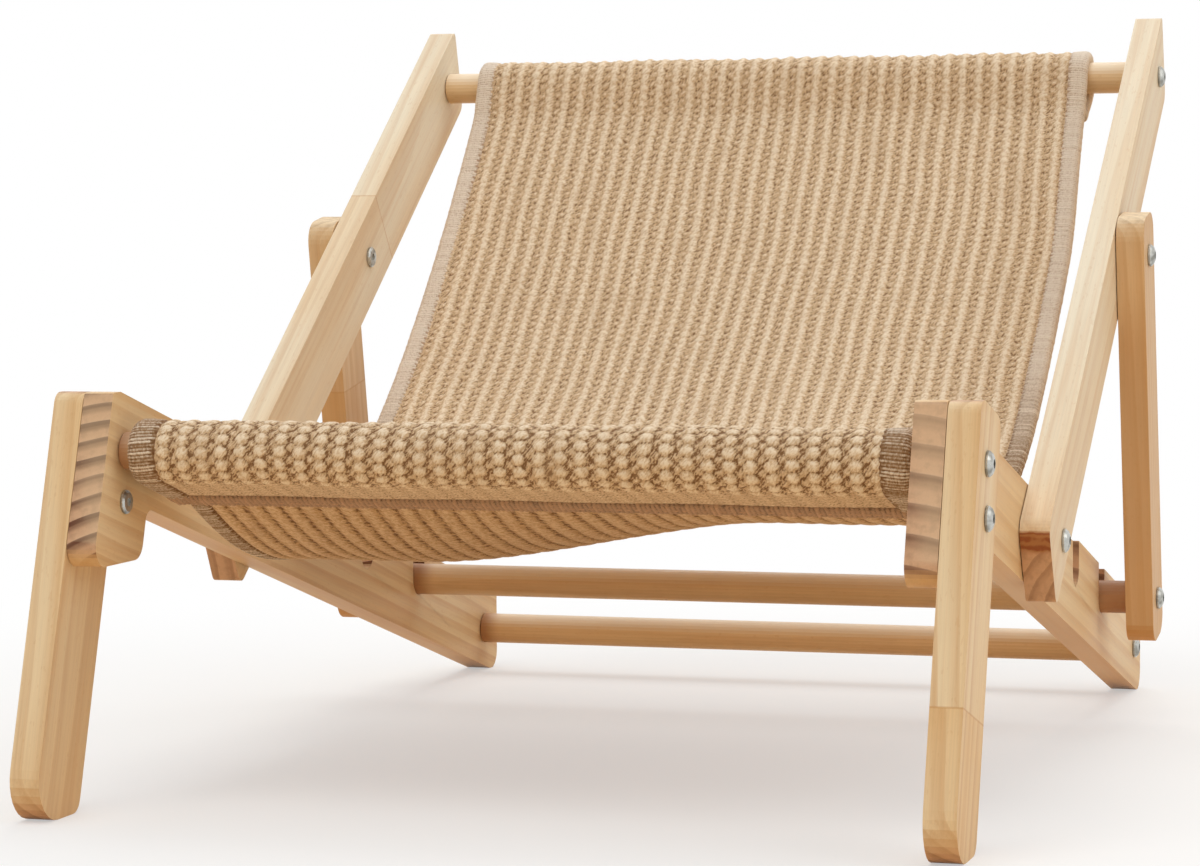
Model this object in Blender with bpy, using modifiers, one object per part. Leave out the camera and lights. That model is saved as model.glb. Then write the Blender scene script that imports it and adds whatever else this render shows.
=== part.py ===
"""Low wooden hammock chair with a woven sling, in metres, +Z up, front towards -Y.

Every position in the side view is worked out from the front rod's axis, the floor and the
values below, so a change of one size carries its neighbours with it.
"""
import math

import bmesh
import bpy
from mathutils import Matrix, Vector

# Widths across the chair
SEAT_INNER_WIDTH = 0.388
RAIL_THICKNESS = 0.015
LEG_THICKNESS = 0.015
POST_THICKNESS = 0.015
STRUT_THICKNESS = 0.015

# Clearances between pieces
CONTACT_GAP = 0.0003
PIVOT_GAP = 0.0005
SLOT_CLEARANCE = 0.0005

# Front legs
FRONT_ROD_HEIGHT = 0.171
HEAD_TOP_RISE = 0.0285
LEG_WIDTH = 0.047
LEG_FRONT_REACH = 0.0203
LEG_LEAN = math.radians(17.3)
LEG_BOLT_PITCH = 0.0245
LEG_BOLT_LEAN = math.radians(2.6)
FOOT_FRONT_RADIUS = 0.020
FOOT_REAR_RADIUS = 0.008
LEG_TOP_RADIUS = 0.008
LEG_TOP_FRONT_RADIUS = 0.007

# Seat rails
RAIL_REACH = 0.5467
RAIL_WIDTH = 0.0485
RAIL_LOWER_DROP = 0.0229
RAIL_TIP_RADIUS = 0.011
RAIL_TIP_FLAT_DEPTH = 0.0002
RAIL_TAIL_RADIUS = 0.0025
HEAD_DROP = 0.0535
HEAD_REACH = 0.032
HEAD_RADIUS = 0.010
HEAD_FILLET = 0.006
REAR_ROD_INSET = 0.024
REAR_ROD_HEIGHT = 0.0265

# Notches for the prop rod
REAR_SLOT_SETBACK = 0.4063
SLOT_PITCH = 0.084
SLOT_DEPTH = 0.0263
LAND_DROP = 0.0035
LAND_LENGTH = 0.014
LAND_RAMP = 0.012

# Backrest posts
HINGE_SETBACK = 0.1951
BACK_LEAN = math.radians(54.1)
POST_WIDTH = 0.0455
HINGE_TO_REAR_EDGE = 0.0137
POST_HEEL_LENGTH = 0.0275
POST_HEEL_STEP = 0.007
POST_HEEL_RADIUS = 0.009
POST_HEEL_CORNER = 0.005
STRUT_BOLT_REACH = 0.2246
TOP_ROD_REACH = 0.3965
POST_LENGTH = 0.4265
POST_TOP_CUT = math.radians(20.0)
POST_TOP_REAR_RADIUS = 0.008
POST_TOP_FRONT_RADIUS = 0.003

# Prop struts
STRUT_WIDTH = 0.035
STRUT_TOP_OVERHANG = 0.0225
STRUT_BOTTOM_OVERHANG = 0.0225
STRUT_END_RADIUS = 0.0115

# Rods and edges
ROD_DIAMETER = 0.018
ROD_END_CHAMFER = 0.0006
EDGE_EASE = 0.0013

# Fasteners
BOLT_DIAMETER = 0.006
BOLT_HEAD_DIAMETER = 0.012
BOLT_HEAD_HEIGHT = 0.0030
BOLT_RIM_HEIGHT = 0.0009
HEX_KEY_SIZE = 0.004
HEX_SOCKET_DEPTH = 0.0019
BOLT_REACH_IN_ROD = 0.011
INSERT_DIAMETER = 0.009
INSERT_LENGTH = 0.012
NUT_FLANGE_DIAMETER = 0.0116
NUT_FLANGE_HEIGHT = 0.0018
NUT_SLEEVE_DIAMETER = 0.0082
NUT_SLEEVE_LENGTH = 0.009
NUT_WALL = 0.0015

# Sling cloth
SLING_SIDE_GAP = 0.0045
SLING_SHIFT_SHARE = 0.66
CLOTH_THICKNESS = 0.0068
SEAM_REACH = 0.027
FRONT_PULL_ANGLE = math.radians(-28.5)
BACK_PULL_ANGLE = math.radians(51.5)
BELLY_SETBACK = 0.178
BELLY_DROP_LEFT = 0.065
BELLY_DROP_RIGHT = 0.0385
BELLY_BLEND_SHARE = 0.27
BELLY_FRONT_EASE = 0.041
BELLY_FLOOR_EASE = 0.061
BELLY_REAR_EASE = 0.110
BELLY_RISE_EASE = 0.128

# Marks
PIVOT_MARK_SIZE = 0.04

# Facets
ROD_SIDES = 28
FASTENER_SIDES = 16
ARC_STEP = math.radians(13.0)
SLEEVE_STEPS = 10
BELLY_FRONT_STEPS = 7
BELLY_REAR_STEPS = 11
SLING_STATIONS = 13

# Places across the chair, measured outwards from the middle
RAIL_INNER_X = SEAT_INNER_WIDTH / 2
RAIL_OUTER_X = RAIL_INNER_X + RAIL_THICKNESS
LEG_INNER_X = RAIL_OUTER_X + CONTACT_GAP
LEG_OUTER_X = LEG_INNER_X + LEG_THICKNESS
POST_INNER_X = RAIL_OUTER_X + PIVOT_GAP
POST_OUTER_X = POST_INNER_X + POST_THICKNESS
STRUT_INNER_X = POST_OUTER_X + PIVOT_GAP
STRUT_OUTER_X = STRUT_INNER_X + STRUT_THICKNESS
ROD_RADIUS = ROD_DIAMETER / 2
BOLT_HOLE_RADIUS = BOLT_DIAMETER / 2 + CONTACT_GAP
SLING_WIDTH = SEAT_INNER_WIDTH - 2 * SLING_SIDE_GAP
SLING_SIDE_SHIFT = SLING_SIDE_GAP * SLING_SHIFT_SHARE

# The footprint's middle is at Y = 0
HEAD_TOP_HEIGHT = FRONT_ROD_HEIGHT + HEAD_TOP_RISE
LEG_REAR_REACH = LEG_WIDTH - LEG_FRONT_REACH
LEG_FRONT_ACROSS = LEG_FRONT_REACH / math.cos(LEG_LEAN)
FOOT_ARC_Y = (FOOT_FRONT_RADIUS - FRONT_ROD_HEIGHT) * math.tan(LEG_LEAN) - LEG_FRONT_ACROSS
FOOT_ARC_Y += FOOT_FRONT_RADIUS / math.cos(LEG_LEAN)
FRONT_EXTREME = FOOT_ARC_Y - FOOT_FRONT_RADIUS
FRONT_ROD = Vector((-(FRONT_EXTREME + RAIL_REACH) / 2, FRONT_ROD_HEIGHT))
RAIL_REAR_Y = FRONT_ROD.x + RAIL_REACH

# The rail's lower edge runs from a drop under the front rod and touches the tip's arc
TIP_ARC_REACH = RAIL_REACH - RAIL_TIP_RADIUS
TIP_ARC_DROP = FRONT_ROD_HEIGHT - RAIL_LOWER_DROP - (RAIL_TIP_RADIUS - RAIL_TIP_FLAT_DEPTH)
RAIL_SLOPE = math.atan2(TIP_ARC_DROP, TIP_ARC_REACH)
RAIL_SLOPE += math.asin(RAIL_TIP_RADIUS / math.hypot(TIP_ARC_DROP, TIP_ARC_REACH))

# Directions in the side view, as (Y, Z)
LEG_UP = Vector((math.sin(LEG_LEAN), math.cos(LEG_LEAN)))
LEG_REAR = Vector((math.cos(LEG_LEAN), -math.sin(LEG_LEAN)))
POST_UP = Vector((math.sin(BACK_LEAN), math.cos(BACK_LEAN)))
POST_FRONT = Vector((-math.cos(BACK_LEAN), math.sin(BACK_LEAN)))
LEG_BOLT = FRONT_ROD - Vector((math.sin(LEG_BOLT_LEAN), math.cos(LEG_BOLT_LEAN))) * LEG_BOLT_PITCH


def rail_lower_z(y):
    """Height of the rail's straight lower edge at depth y."""
    arc_y = RAIL_REAR_Y - RAIL_TIP_RADIUS
    arc_z = RAIL_TIP_RADIUS - RAIL_TIP_FLAT_DEPTH
    touch_y = arc_y - RAIL_TIP_RADIUS * math.sin(RAIL_SLOPE)
    touch_z = arc_z - RAIL_TIP_RADIUS * math.cos(RAIL_SLOPE)
    return touch_z + (touch_y - y) * math.tan(RAIL_SLOPE)


def rail_upper_z(y):
    """Height of the rail's straight upper edge at depth y."""
    return rail_lower_z(y) + RAIL_WIDTH / math.cos(RAIL_SLOPE)


HINGE_Y = FRONT_ROD.x + HINGE_SETBACK
HINGE = Vector((HINGE_Y, (rail_lower_z(HINGE_Y) + rail_upper_z(HINGE_Y)) / 2))
POST_CENTRE = POST_WIDTH / 2 - HINGE_TO_REAR_EDGE
STRUT_BOLT = HINGE + POST_UP * STRUT_BOLT_REACH + POST_FRONT * POST_CENTRE
TOP_ROD = HINGE + POST_UP * TOP_ROD_REACH + POST_FRONT * POST_CENTRE
REAR_ROD = Vector((RAIL_REAR_Y - REAR_ROD_INSET, REAR_ROD_HEIGHT))
REAR_SLOT_Y = FRONT_ROD.x + REAR_SLOT_SETBACK
FRONT_SLOT_Y = REAR_SLOT_Y - SLOT_PITCH
SLOT_HALF_WIDTH = ROD_RADIUS + SLOT_CLEARANCE


def slot_floor_z(slot_y):
    """Height of the lowest point of the notch at depth slot_y."""
    return rail_upper_z(slot_y) - SLOT_DEPTH


PROP_ROD = Vector((REAR_SLOT_Y, slot_floor_z(REAR_SLOT_Y) + CONTACT_GAP + ROD_RADIUS))


def clear_scene():
    """Removes every object, mesh, curve, material and collection of the open file."""
    for obj in list(bpy.data.objects):
        bpy.data.objects.remove(obj, do_unlink=True)
    for collection in list(bpy.data.collections):
        bpy.data.collections.remove(collection)


def make_material(name, colour, roughness, metallic=0.0):
    """A Principled material with one colour."""
    material = bpy.data.materials.new(name)
    material.use_nodes = True
    shader = material.node_tree.nodes["Principled BSDF"]
    shader.inputs["Base Color"].default_value = (*colour, 1.0)
    shader.inputs["Roughness"].default_value = roughness
    shader.inputs["Metallic"].default_value = metallic
    material.diffuse_color = (*colour, 1.0)
    return material


def rounded(corners):
    """Outline through (point, radius) corners, each corner turned into an arc."""
    outline = []
    count = len(corners)
    for index, (corner, radius) in enumerate(corners):
        if radius <= 0.0:
            outline.append(corner.copy())
            continue
        to_last = (corners[index - 1][0] - corner).normalized()
        to_next = (corners[(index + 1) % count][0] - corner).normalized()
        opening = to_last.angle(to_next)
        reach = radius / math.tan(opening / 2)
        centre = corner + (to_last + to_next).normalized() * (radius / math.sin(opening / 2))
        first = corner + to_last * reach - centre
        last = corner + to_next * reach - centre
        turn = math.atan2(first.x * last.y - first.y * last.x, first.dot(last))
        steps = max(2, math.ceil(abs(turn) / ARC_STEP))
        for step in range(steps + 1):
            angle = turn * step / steps
            turned = Matrix.Rotation(angle, 2) @ first
            outline.append(centre + turned)
    return outline


def mesh_from_curve(curve_object, name):
    """Turns a filled curve into a welded mesh object and removes the curve."""
    bpy.context.view_layer.update()
    depsgraph = bpy.context.evaluated_depsgraph_get()
    evaluated = curve_object.evaluated_get(depsgraph)
    mesh = bpy.data.meshes.new_from_object(evaluated, depsgraph=depsgraph)
    welded = bmesh.new()
    welded.from_mesh(mesh)
    bmesh.ops.remove_doubles(welded, verts=welded.verts, dist=0.000005)
    bmesh.ops.recalc_face_normals(welded, faces=welded.faces)
    welded.to_mesh(mesh)
    welded.free()
    mesh_object = bpy.data.objects.new(name, mesh)
    mesh_object.matrix_world = curve_object.matrix_world.copy()
    curve = curve_object.data
    bpy.data.objects.remove(curve_object, do_unlink=True)
    bpy.data.curves.remove(curve)
    return mesh_object


def plank(name, outline, inner_x, thickness, side, material):
    """A flat board: its side outline extruded across the chair, with eased edges."""
    curve = bpy.data.curves.new(name + "_outline", "CURVE")
    curve.dimensions = "2D"
    curve.fill_mode = "BOTH"
    curve.extrude = thickness / 2
    spline = curve.splines.new("POLY")
    spline.points.add(len(outline) - 1)
    centre = sum(outline, Vector((0.0, 0.0))) / len(outline)
    for point, place in zip(spline.points, outline):
        point.co = (place.x - centre.x, place.y - centre.y, 0.0, 1.0)
    spline.use_cyclic_u = True
    flat = bpy.data.objects.new(name + "_outline", curve)
    bpy.context.scene.collection.objects.link(flat)
    # The outline's own X, Y and Z become the chair's Y, Z and X
    flat.matrix_world = Matrix.Translation((side * (inner_x + thickness / 2), centre.x, centre.y)) @ Matrix(
        ((0, 0, 1, 0), (1, 0, 0, 0), (0, 1, 0, 0), (0, 0, 0, 1)))
    board = mesh_from_curve(flat, name)
    bpy.context.scene.collection.objects.link(board)
    board.data.materials.append(material)
    ease = board.modifiers.new("Eased edges", "BEVEL")
    ease.width = EDGE_EASE
    ease.segments = 2
    ease.limit_method = "ANGLE"
    ease.angle_limit = math.radians(60)
    return board


def cross_cylinder(name, place, from_x, to_x, radius, sides):
    """A cylinder across the chair between two X places, on a side-view point."""
    bpy.ops.mesh.primitive_cylinder_add(
        vertices=sides, radius=radius, depth=abs(to_x - from_x), end_fill_type="NGON",
        location=((from_x + to_x) / 2, place.x, place.y), rotation=(0.0, math.pi / 2, 0.0))
    cylinder = bpy.context.active_object
    cylinder.name = name
    cylinder.data.name = name
    return cylinder


def bore(target, label, place, from_x, to_x, radius):
    """Cuts a round hole across a piece between two X places."""
    cutter = cross_cylinder("cut_" + target.name + "_" + label, place, from_x, to_x, radius, FASTENER_SIDES)
    move_to(cutter, "hammock_chair_cutters")
    cutter.hide_render = True
    cutter.display_type = "WIRE"
    cut = target.modifiers.new(label, "BOOLEAN")
    cut.operation = "DIFFERENCE"
    cut.solver = "EXACT"
    cut.object = cutter


def move_to(obj, collection_name):
    """Puts an object in one named collection only."""
    collection = bpy.data.collections.get(collection_name)
    if collection is None:
        collection = bpy.data.collections.new(collection_name)
        bpy.context.scene.collection.children.link(collection)
    for owner in list(obj.users_collection):
        owner.objects.unlink(obj)
    collection.objects.link(obj)


def finish_piece(obj, parent=None):
    """Files a piece with the chair, smooths its round faces and hangs it on its pivot."""
    move_to(obj, "hammock_chair")
    obj.data.shade_smooth()
    obj.data.set_sharp_from_angle(angle=math.radians(35))
    if parent is not None:
        obj.parent = parent
        obj.location = obj.location - parent_place(parent)


def parent_place(empty):
    """World place of an empty that may hang on another one."""
    place = empty.location.copy()
    if empty.parent is not None:
        place += parent_place(empty.parent)
    return place


def pivot_empty(name, place, parent=None):
    """An empty on a pivot's axis, with its X along the axis."""
    empty = bpy.data.objects.new(name, None)
    empty.empty_display_type = "ARROWS"
    empty.empty_display_size = PIVOT_MARK_SIZE
    empty.location = (0.0, place.x, place.y)
    move_to(empty, "hammock_chair")
    if parent is not None:
        empty.parent = parent
        empty.location = empty.location - parent_place(parent)
    return empty


def leg_outline():
    """Side outline of a front leg, level with the rail's head on top."""
    front_top = leg_edge_at(-LEG_FRONT_REACH, HEAD_TOP_HEIGHT)
    front_foot = leg_edge_at(-LEG_FRONT_REACH, 0.0)
    rear_foot = leg_edge_at(LEG_REAR_REACH, 0.0)
    crest = Vector((rail_crest_y(), HEAD_TOP_HEIGHT))
    rear_top = leg_edge_on_rail_top(LEG_REAR_REACH)
    return rounded([
        (front_top, LEG_TOP_FRONT_RADIUS), (front_foot, FOOT_FRONT_RADIUS), (rear_foot, FOOT_REAR_RADIUS),
        (rear_top, LEG_TOP_RADIUS), (crest, 0.0)])


def leg_edge_at(offset, height):
    """Point of a line along the leg, offset to the rear, at one height."""
    start = FRONT_ROD + LEG_REAR * offset
    return start + LEG_UP * ((height - start.y) / LEG_UP.y)


def rail_crest_y():
    """Depth at which the rail's sloping upper edge reaches the level top of its head."""
    return FRONT_ROD.x + (rail_upper_z(FRONT_ROD.x) - HEAD_TOP_HEIGHT) / math.tan(RAIL_SLOPE)


def leg_edge_on_rail_top(offset):
    """Point where a line along the leg meets the rail's upper edge."""
    start = FRONT_ROD + LEG_REAR * offset
    slope = -math.tan(RAIL_SLOPE)
    travel = (rail_upper_z(start.x) - start.y) / (LEG_UP.y - slope * LEG_UP.x)
    return start + LEG_UP * travel


def leg_edge_on_rail_bottom(offset):
    """Point where a line along the leg meets the rail's lower edge."""
    start = FRONT_ROD + LEG_REAR * offset
    slope = -math.tan(RAIL_SLOPE)
    travel = (rail_lower_z(start.x) - start.y) / (LEG_UP.y - slope * LEG_UP.x)
    return start + LEG_UP * travel


def slot_corners(slot_y, front_mouth_z):
    """Corners of one notch, open to the rail's upper edge, with a round floor."""
    front_y = slot_y - SLOT_HALF_WIDTH
    rear_y = slot_y + SLOT_HALF_WIDTH
    floor_z = slot_floor_z(slot_y)
    return [
        (Vector((front_y, front_mouth_z)), 0.0),
        (Vector((front_y, floor_z)), SLOT_HALF_WIDTH * 0.998),
        (Vector((rear_y, floor_z)), SLOT_HALF_WIDTH * 0.998),
        (Vector((rear_y, rail_upper_z(rear_y))), 0.0)]


def rail_outline():
    """Side outline of a seat rail: deep head, sloping board, two notches and a rear foot."""
    front_top = leg_edge_at(-LEG_FRONT_REACH, HEAD_TOP_HEIGHT)
    lobe_front = leg_edge_at(-LEG_FRONT_REACH, FRONT_ROD_HEIGHT - HEAD_DROP)
    lobe_rear = leg_edge_at(HEAD_REACH, FRONT_ROD_HEIGHT - HEAD_DROP)
    step = leg_edge_on_rail_bottom(HEAD_REACH)
    tail_top = Vector((RAIL_REAR_Y, rail_upper_z(RAIL_REAR_Y)))
    tail_foot = Vector((RAIL_REAR_Y, rail_lower_z(RAIL_REAR_Y)))
    land_rear_y = FRONT_SLOT_Y - SLOT_HALF_WIDTH
    land_front_y = land_rear_y - LAND_LENGTH
    ramp_y = land_front_y - LAND_RAMP
    land_rear_z = rail_upper_z(land_rear_y) - LAND_DROP
    land_front_z = rail_upper_z(land_front_y) - LAND_DROP
    corners = [
        (front_top, EDGE_EASE * 2), (lobe_front, HEAD_RADIUS), (lobe_rear, HEAD_RADIUS),
        (step, HEAD_FILLET), (tail_foot, RAIL_TIP_RADIUS), (tail_top, RAIL_TAIL_RADIUS)]
    corners += reversed(slot_corners(REAR_SLOT_Y, rail_upper_z(REAR_SLOT_Y - SLOT_HALF_WIDTH)))
    corners += reversed(slot_corners(FRONT_SLOT_Y, land_rear_z))
    corners += [
        (Vector((land_front_y, land_front_z)), LAND_DROP),
        (Vector((ramp_y, rail_upper_z(ramp_y))), LAND_DROP),
        (Vector((rail_crest_y(), HEAD_TOP_HEIGHT)), 0.0)]
    outline = rounded(corners)
    # The rounded tip is cut level where it stands on the floor
    for point in outline:
        point.y = max(point.y, 0.0)
    return outline


def post_point(along, forward):
    """Side-view point at a distance up a back post and forward of the hinge."""
    return HINGE + POST_UP * along + POST_FRONT * forward


def post_outline():
    """Side outline of a back post with its rounded heel and its slanting top."""
    front = POST_WIDTH - HINGE_TO_REAR_EDGE
    rear = -HINGE_TO_REAR_EDGE
    top_drop = POST_WIDTH * math.tan(POST_TOP_CUT)
    return rounded([
        (post_point(POST_LENGTH, front), POST_TOP_FRONT_RADIUS),
        (post_point(-POST_HEEL_LENGTH, front), POST_HEEL_RADIUS),
        (post_point(-POST_HEEL_LENGTH - POST_HEEL_STEP, rear), POST_HEEL_CORNER),
        (post_point(POST_LENGTH - top_drop, rear), POST_TOP_REAR_RADIUS)])


def strut_outline():
    """Side outline of a prop strut between its bolt and the prop rod."""
    down = (PROP_ROD - STRUT_BOLT).normalized()
    across = Vector((-down.y, down.x)) * (STRUT_WIDTH / 2)
    top = STRUT_BOLT - down * STRUT_TOP_OVERHANG
    bottom = PROP_ROD + down * STRUT_BOTTOM_OVERHANG
    return rounded([
        (top - across, STRUT_END_RADIUS), (bottom - across, STRUT_END_RADIUS),
        (bottom + across, STRUT_END_RADIUS), (top + across, STRUT_END_RADIUS)])


def turned(name, profile, sides):
    """A turned mesh from a profile of (radius, height) points, first point on top."""
    mesh = bpy.data.meshes.new(name)
    line = bmesh.new()
    points = [line.verts.new((radius, 0.0, height)) for radius, height in profile]
    for first, last in zip(points, points[1:]):
        line.edges.new((first, last))
    line.to_mesh(mesh)
    line.free()
    obj = bpy.data.objects.new(name, mesh)
    bpy.context.scene.collection.objects.link(obj)
    screw = obj.modifiers.new("Turned", "SCREW")
    screw.steps = sides
    screw.render_steps = sides
    screw.use_merge_vertices = True
    screw.merge_threshold = 0.00001
    return obj


def baked_mesh(obj, name):
    """The evaluated mesh of an object, which is removed with its cutter."""
    bpy.context.view_layer.update()
    depsgraph = bpy.context.evaluated_depsgraph_get()
    mesh = bpy.data.meshes.new_from_object(obj.evaluated_get(depsgraph), depsgraph=depsgraph)
    mesh.name = name
    cutters = [modifier.object for modifier in obj.modifiers if modifier.type == "BOOLEAN"]
    bpy.data.objects.remove(obj, do_unlink=True)
    for cutter in cutters:
        bpy.data.objects.remove(cutter, do_unlink=True)
    return mesh


def cut_hex_socket(obj, top_height, depth):
    """Sinks a hexagonal key socket into the top of a turned head."""
    bpy.ops.mesh.primitive_cylinder_add(
        vertices=6, radius=HEX_KEY_SIZE / math.sqrt(3), depth=depth * 2,
        location=(0.0, 0.0, top_height))
    cutter = bpy.context.active_object
    cutter.name = "cut_" + obj.name + "_socket"
    cutter.hide_render = True
    cutter.display_type = "WIRE"
    socket = obj.modifiers.new("Key socket", "BOOLEAN")
    socket.operation = "DIFFERENCE"
    socket.solver = "EXACT"
    socket.object = cutter


def bolt_mesh(name, length):
    """Button-head bolt with its seat at height 0 and its shank below."""
    head = BOLT_HEAD_DIAMETER / 2
    shank = BOLT_DIAMETER / 2
    tip = 0.0006
    crown = HEX_KEY_SIZE * 0.72
    dome = BOLT_HEAD_HEIGHT - BOLT_RIM_HEIGHT
    profile = [
        (0.0, BOLT_HEAD_HEIGHT), (crown, BOLT_HEAD_HEIGHT), (head * 0.80, BOLT_RIM_HEIGHT + dome * 0.62),
        (head, BOLT_RIM_HEIGHT), (head, 0.0), (shank, 0.0), (shank, tip - length),
        (shank - tip, -length), (0.0, -length)]
    bolt = turned(name, profile, FASTENER_SIDES)
    cut_hex_socket(bolt, BOLT_HEAD_HEIGHT, HEX_SOCKET_DEPTH)
    return baked_mesh(bolt, name)


def nut_mesh(name):
    """Sleeve nut with a flange above height 0 and a bored sleeve below."""
    flange = NUT_FLANGE_DIAMETER / 2
    sleeve = NUT_SLEEVE_DIAMETER / 2
    bore_radius = BOLT_DIAMETER / 2 + CONTACT_GAP
    profile = [
        (0.0, NUT_FLANGE_HEIGHT), (flange * 0.82, NUT_FLANGE_HEIGHT), (flange, NUT_FLANGE_HEIGHT * 0.5),
        (flange, 0.0), (sleeve, 0.0), (sleeve, -NUT_SLEEVE_LENGTH), (bore_radius, -NUT_SLEEVE_LENGTH),
        (bore_radius, NUT_FLANGE_HEIGHT - NUT_WALL - HEX_SOCKET_DEPTH * 0.5),
        (0.0, NUT_FLANGE_HEIGHT - NUT_WALL - HEX_SOCKET_DEPTH * 0.5)]
    nut = turned(name, profile, FASTENER_SIDES)
    cut_hex_socket(nut, NUT_FLANGE_HEIGHT, HEX_SOCKET_DEPTH * 0.5)
    return baked_mesh(nut, name)


def insert_mesh(name):
    """Threaded insert, a ring with its mouth at height 0 and its body below."""
    outer = INSERT_DIAMETER / 2
    inner = BOLT_DIAMETER / 2 + CONTACT_GAP
    profile = [(inner, 0.0), (outer, 0.0), (outer, -INSERT_LENGTH), (inner, -INSERT_LENGTH), (inner, 0.0)]
    ring = turned(name, profile, FASTENER_SIDES)
    return baked_mesh(ring, name)


def side_pair(name, mesh, place, seat_x, outward, material, parent=None):
    """Two equal fasteners, one at each side of the chair, with their tops facing out or in."""
    mesh.materials.append(material)
    for side, word in ((-1.0, "left_"), (1.0, "right_")):
        facing = side if outward else -side
        fastener = bpy.data.objects.new(word + name, mesh)
        fastener.location = (side * seat_x, place.x, place.y)
        fastener.rotation_euler = (0.0, facing * math.pi / 2, 0.0)
        finish_piece(fastener, parent)


def rod(name, place, half_length, material, parent=None):
    """A dowel across the chair with a chamfer and a bored seat for an insert at each end."""
    dowel = cross_cylinder(name, place, -half_length, half_length, ROD_RADIUS, ROD_SIDES)
    bpy.ops.object.transform_apply(location=False, rotation=True, scale=True)
    dowel.data.materials.append(material)
    chamfer = dowel.modifiers.new("Chamfered ends", "BEVEL")
    chamfer.width = ROD_END_CHAMFER
    chamfer.segments = 1
    chamfer.limit_method = "ANGLE"
    chamfer.angle_limit = math.radians(60)
    seat = INSERT_DIAMETER / 2 + CONTACT_GAP
    depth = INSERT_LENGTH + CONTACT_GAP * 2
    bore(dowel, "left_insert_seat", place, -half_length - 0.002, -half_length + depth, seat)
    bore(dowel, "right_insert_seat", place, half_length - depth, half_length + 0.002, seat)
    finish_piece(dowel, parent)
    return dowel


def blend(first, last, share):
    """Smooth change from one value to another over a share of 0 to 1."""
    share = min(1.0, max(0.0, share))
    return first + (last - first) * share * share * (3.0 - 2.0 * share)


def bezier(points, share):
    """Point of a cubic curve through its first and last points."""
    rest = 1.0 - share
    return (points[0] * rest ** 3 + points[1] * 3 * rest ** 2 * share
            + points[2] * 3 * rest * share ** 2 + points[3] * share ** 3)


def sleeve_path(axis, along, outside):
    """Middle line of the cloth round a rod, from its main layer to the sewn end."""
    half_step = math.pi / SLEEVE_STEPS * 0.62
    radius = (ROD_RADIUS + CONTACT_GAP + CLOTH_THICKNESS / 2) / math.cos(half_step)
    layer = (CLOTH_THICKNESS + CONTACT_GAP * 1.5) / 2
    main = axis + along * SEAM_REACH + outside * layer
    end = axis + along * SEAM_REACH - outside * layer
    tangent = math.atan2(layer, SEAM_REACH) + math.acos(radius / math.hypot(layer, SEAM_REACH))
    path = [main]
    for step in range(SLEEVE_STEPS + 1):
        angle = tangent + (2 * math.pi - 2 * tangent) * step / SLEEVE_STEPS
        path.append(axis + along * (radius * math.cos(angle)) + outside * (radius * math.sin(angle)))
    path.append(end)
    return path


def sling_path(across):
    """Middle line of the cloth in the side view, at a share across the chair."""
    front_along = Vector((math.cos(FRONT_PULL_ANGLE), math.sin(FRONT_PULL_ANGLE)))
    front_out = Vector((-front_along.y, front_along.x))
    back_along = Vector((-math.cos(BACK_PULL_ANGLE), -math.sin(BACK_PULL_ANGLE)))
    back_out = Vector((back_along.y, -back_along.x))
    front_sleeve = sleeve_path(FRONT_ROD, front_along, front_out)
    back_sleeve = sleeve_path(TOP_ROD, back_along, back_out)
    share = 0.5 + across / (2 * BELLY_BLEND_SHARE * SEAT_INNER_WIDTH)
    drop = blend(BELLY_DROP_LEFT, BELLY_DROP_RIGHT, share)
    belly = FRONT_ROD + Vector((BELLY_SETBACK, -drop))
    level = Vector((1.0, 0.0))
    front_run = [
        front_sleeve[0], front_sleeve[0] + front_along * BELLY_FRONT_EASE,
        belly - level * BELLY_FLOOR_EASE, belly]
    rear_run = [
        belly, belly + level * BELLY_REAR_EASE,
        back_sleeve[0] + back_along * BELLY_RISE_EASE, back_sleeve[0]]
    path = list(reversed(front_sleeve))
    for step in range(1, BELLY_FRONT_STEPS + 1):
        path.append(bezier(front_run, step / BELLY_FRONT_STEPS))
    for step in range(1, BELLY_REAR_STEPS):
        path.append(bezier(rear_run, step / BELLY_REAR_STEPS))
    path += back_sleeve
    return path


def build_sling(material):
    """The woven sling: one sheet sewn round the front rod and round the top rod."""
    sheet = bmesh.new()
    rows = []
    for station in range(SLING_STATIONS):
        x = SLING_SIDE_SHIFT + SLING_WIDTH * (station / (SLING_STATIONS - 1) - 0.5)
        rows.append([sheet.verts.new((x, place.x, place.y)) for place in sling_path(x)])
    for left, right in zip(rows, rows[1:]):
        for index in range(len(left) - 1):
            sheet.faces.new((left[index], right[index], right[index + 1], left[index + 1]))
    bmesh.ops.recalc_face_normals(sheet, faces=sheet.faces)
    mesh = bpy.data.meshes.new("sling")
    sheet.to_mesh(mesh)
    sheet.free()
    sling = bpy.data.objects.new("sling", mesh)
    sling.data.materials.append(material)
    cloth = sling.modifiers.new("Cloth thickness", "SOLIDIFY")
    cloth.thickness = CLOTH_THICKNESS
    cloth.offset = 0.0
    cloth.use_even_offset = True
    cloth.use_quality_normals = True
    finish_piece(sling)
    return sling


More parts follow.
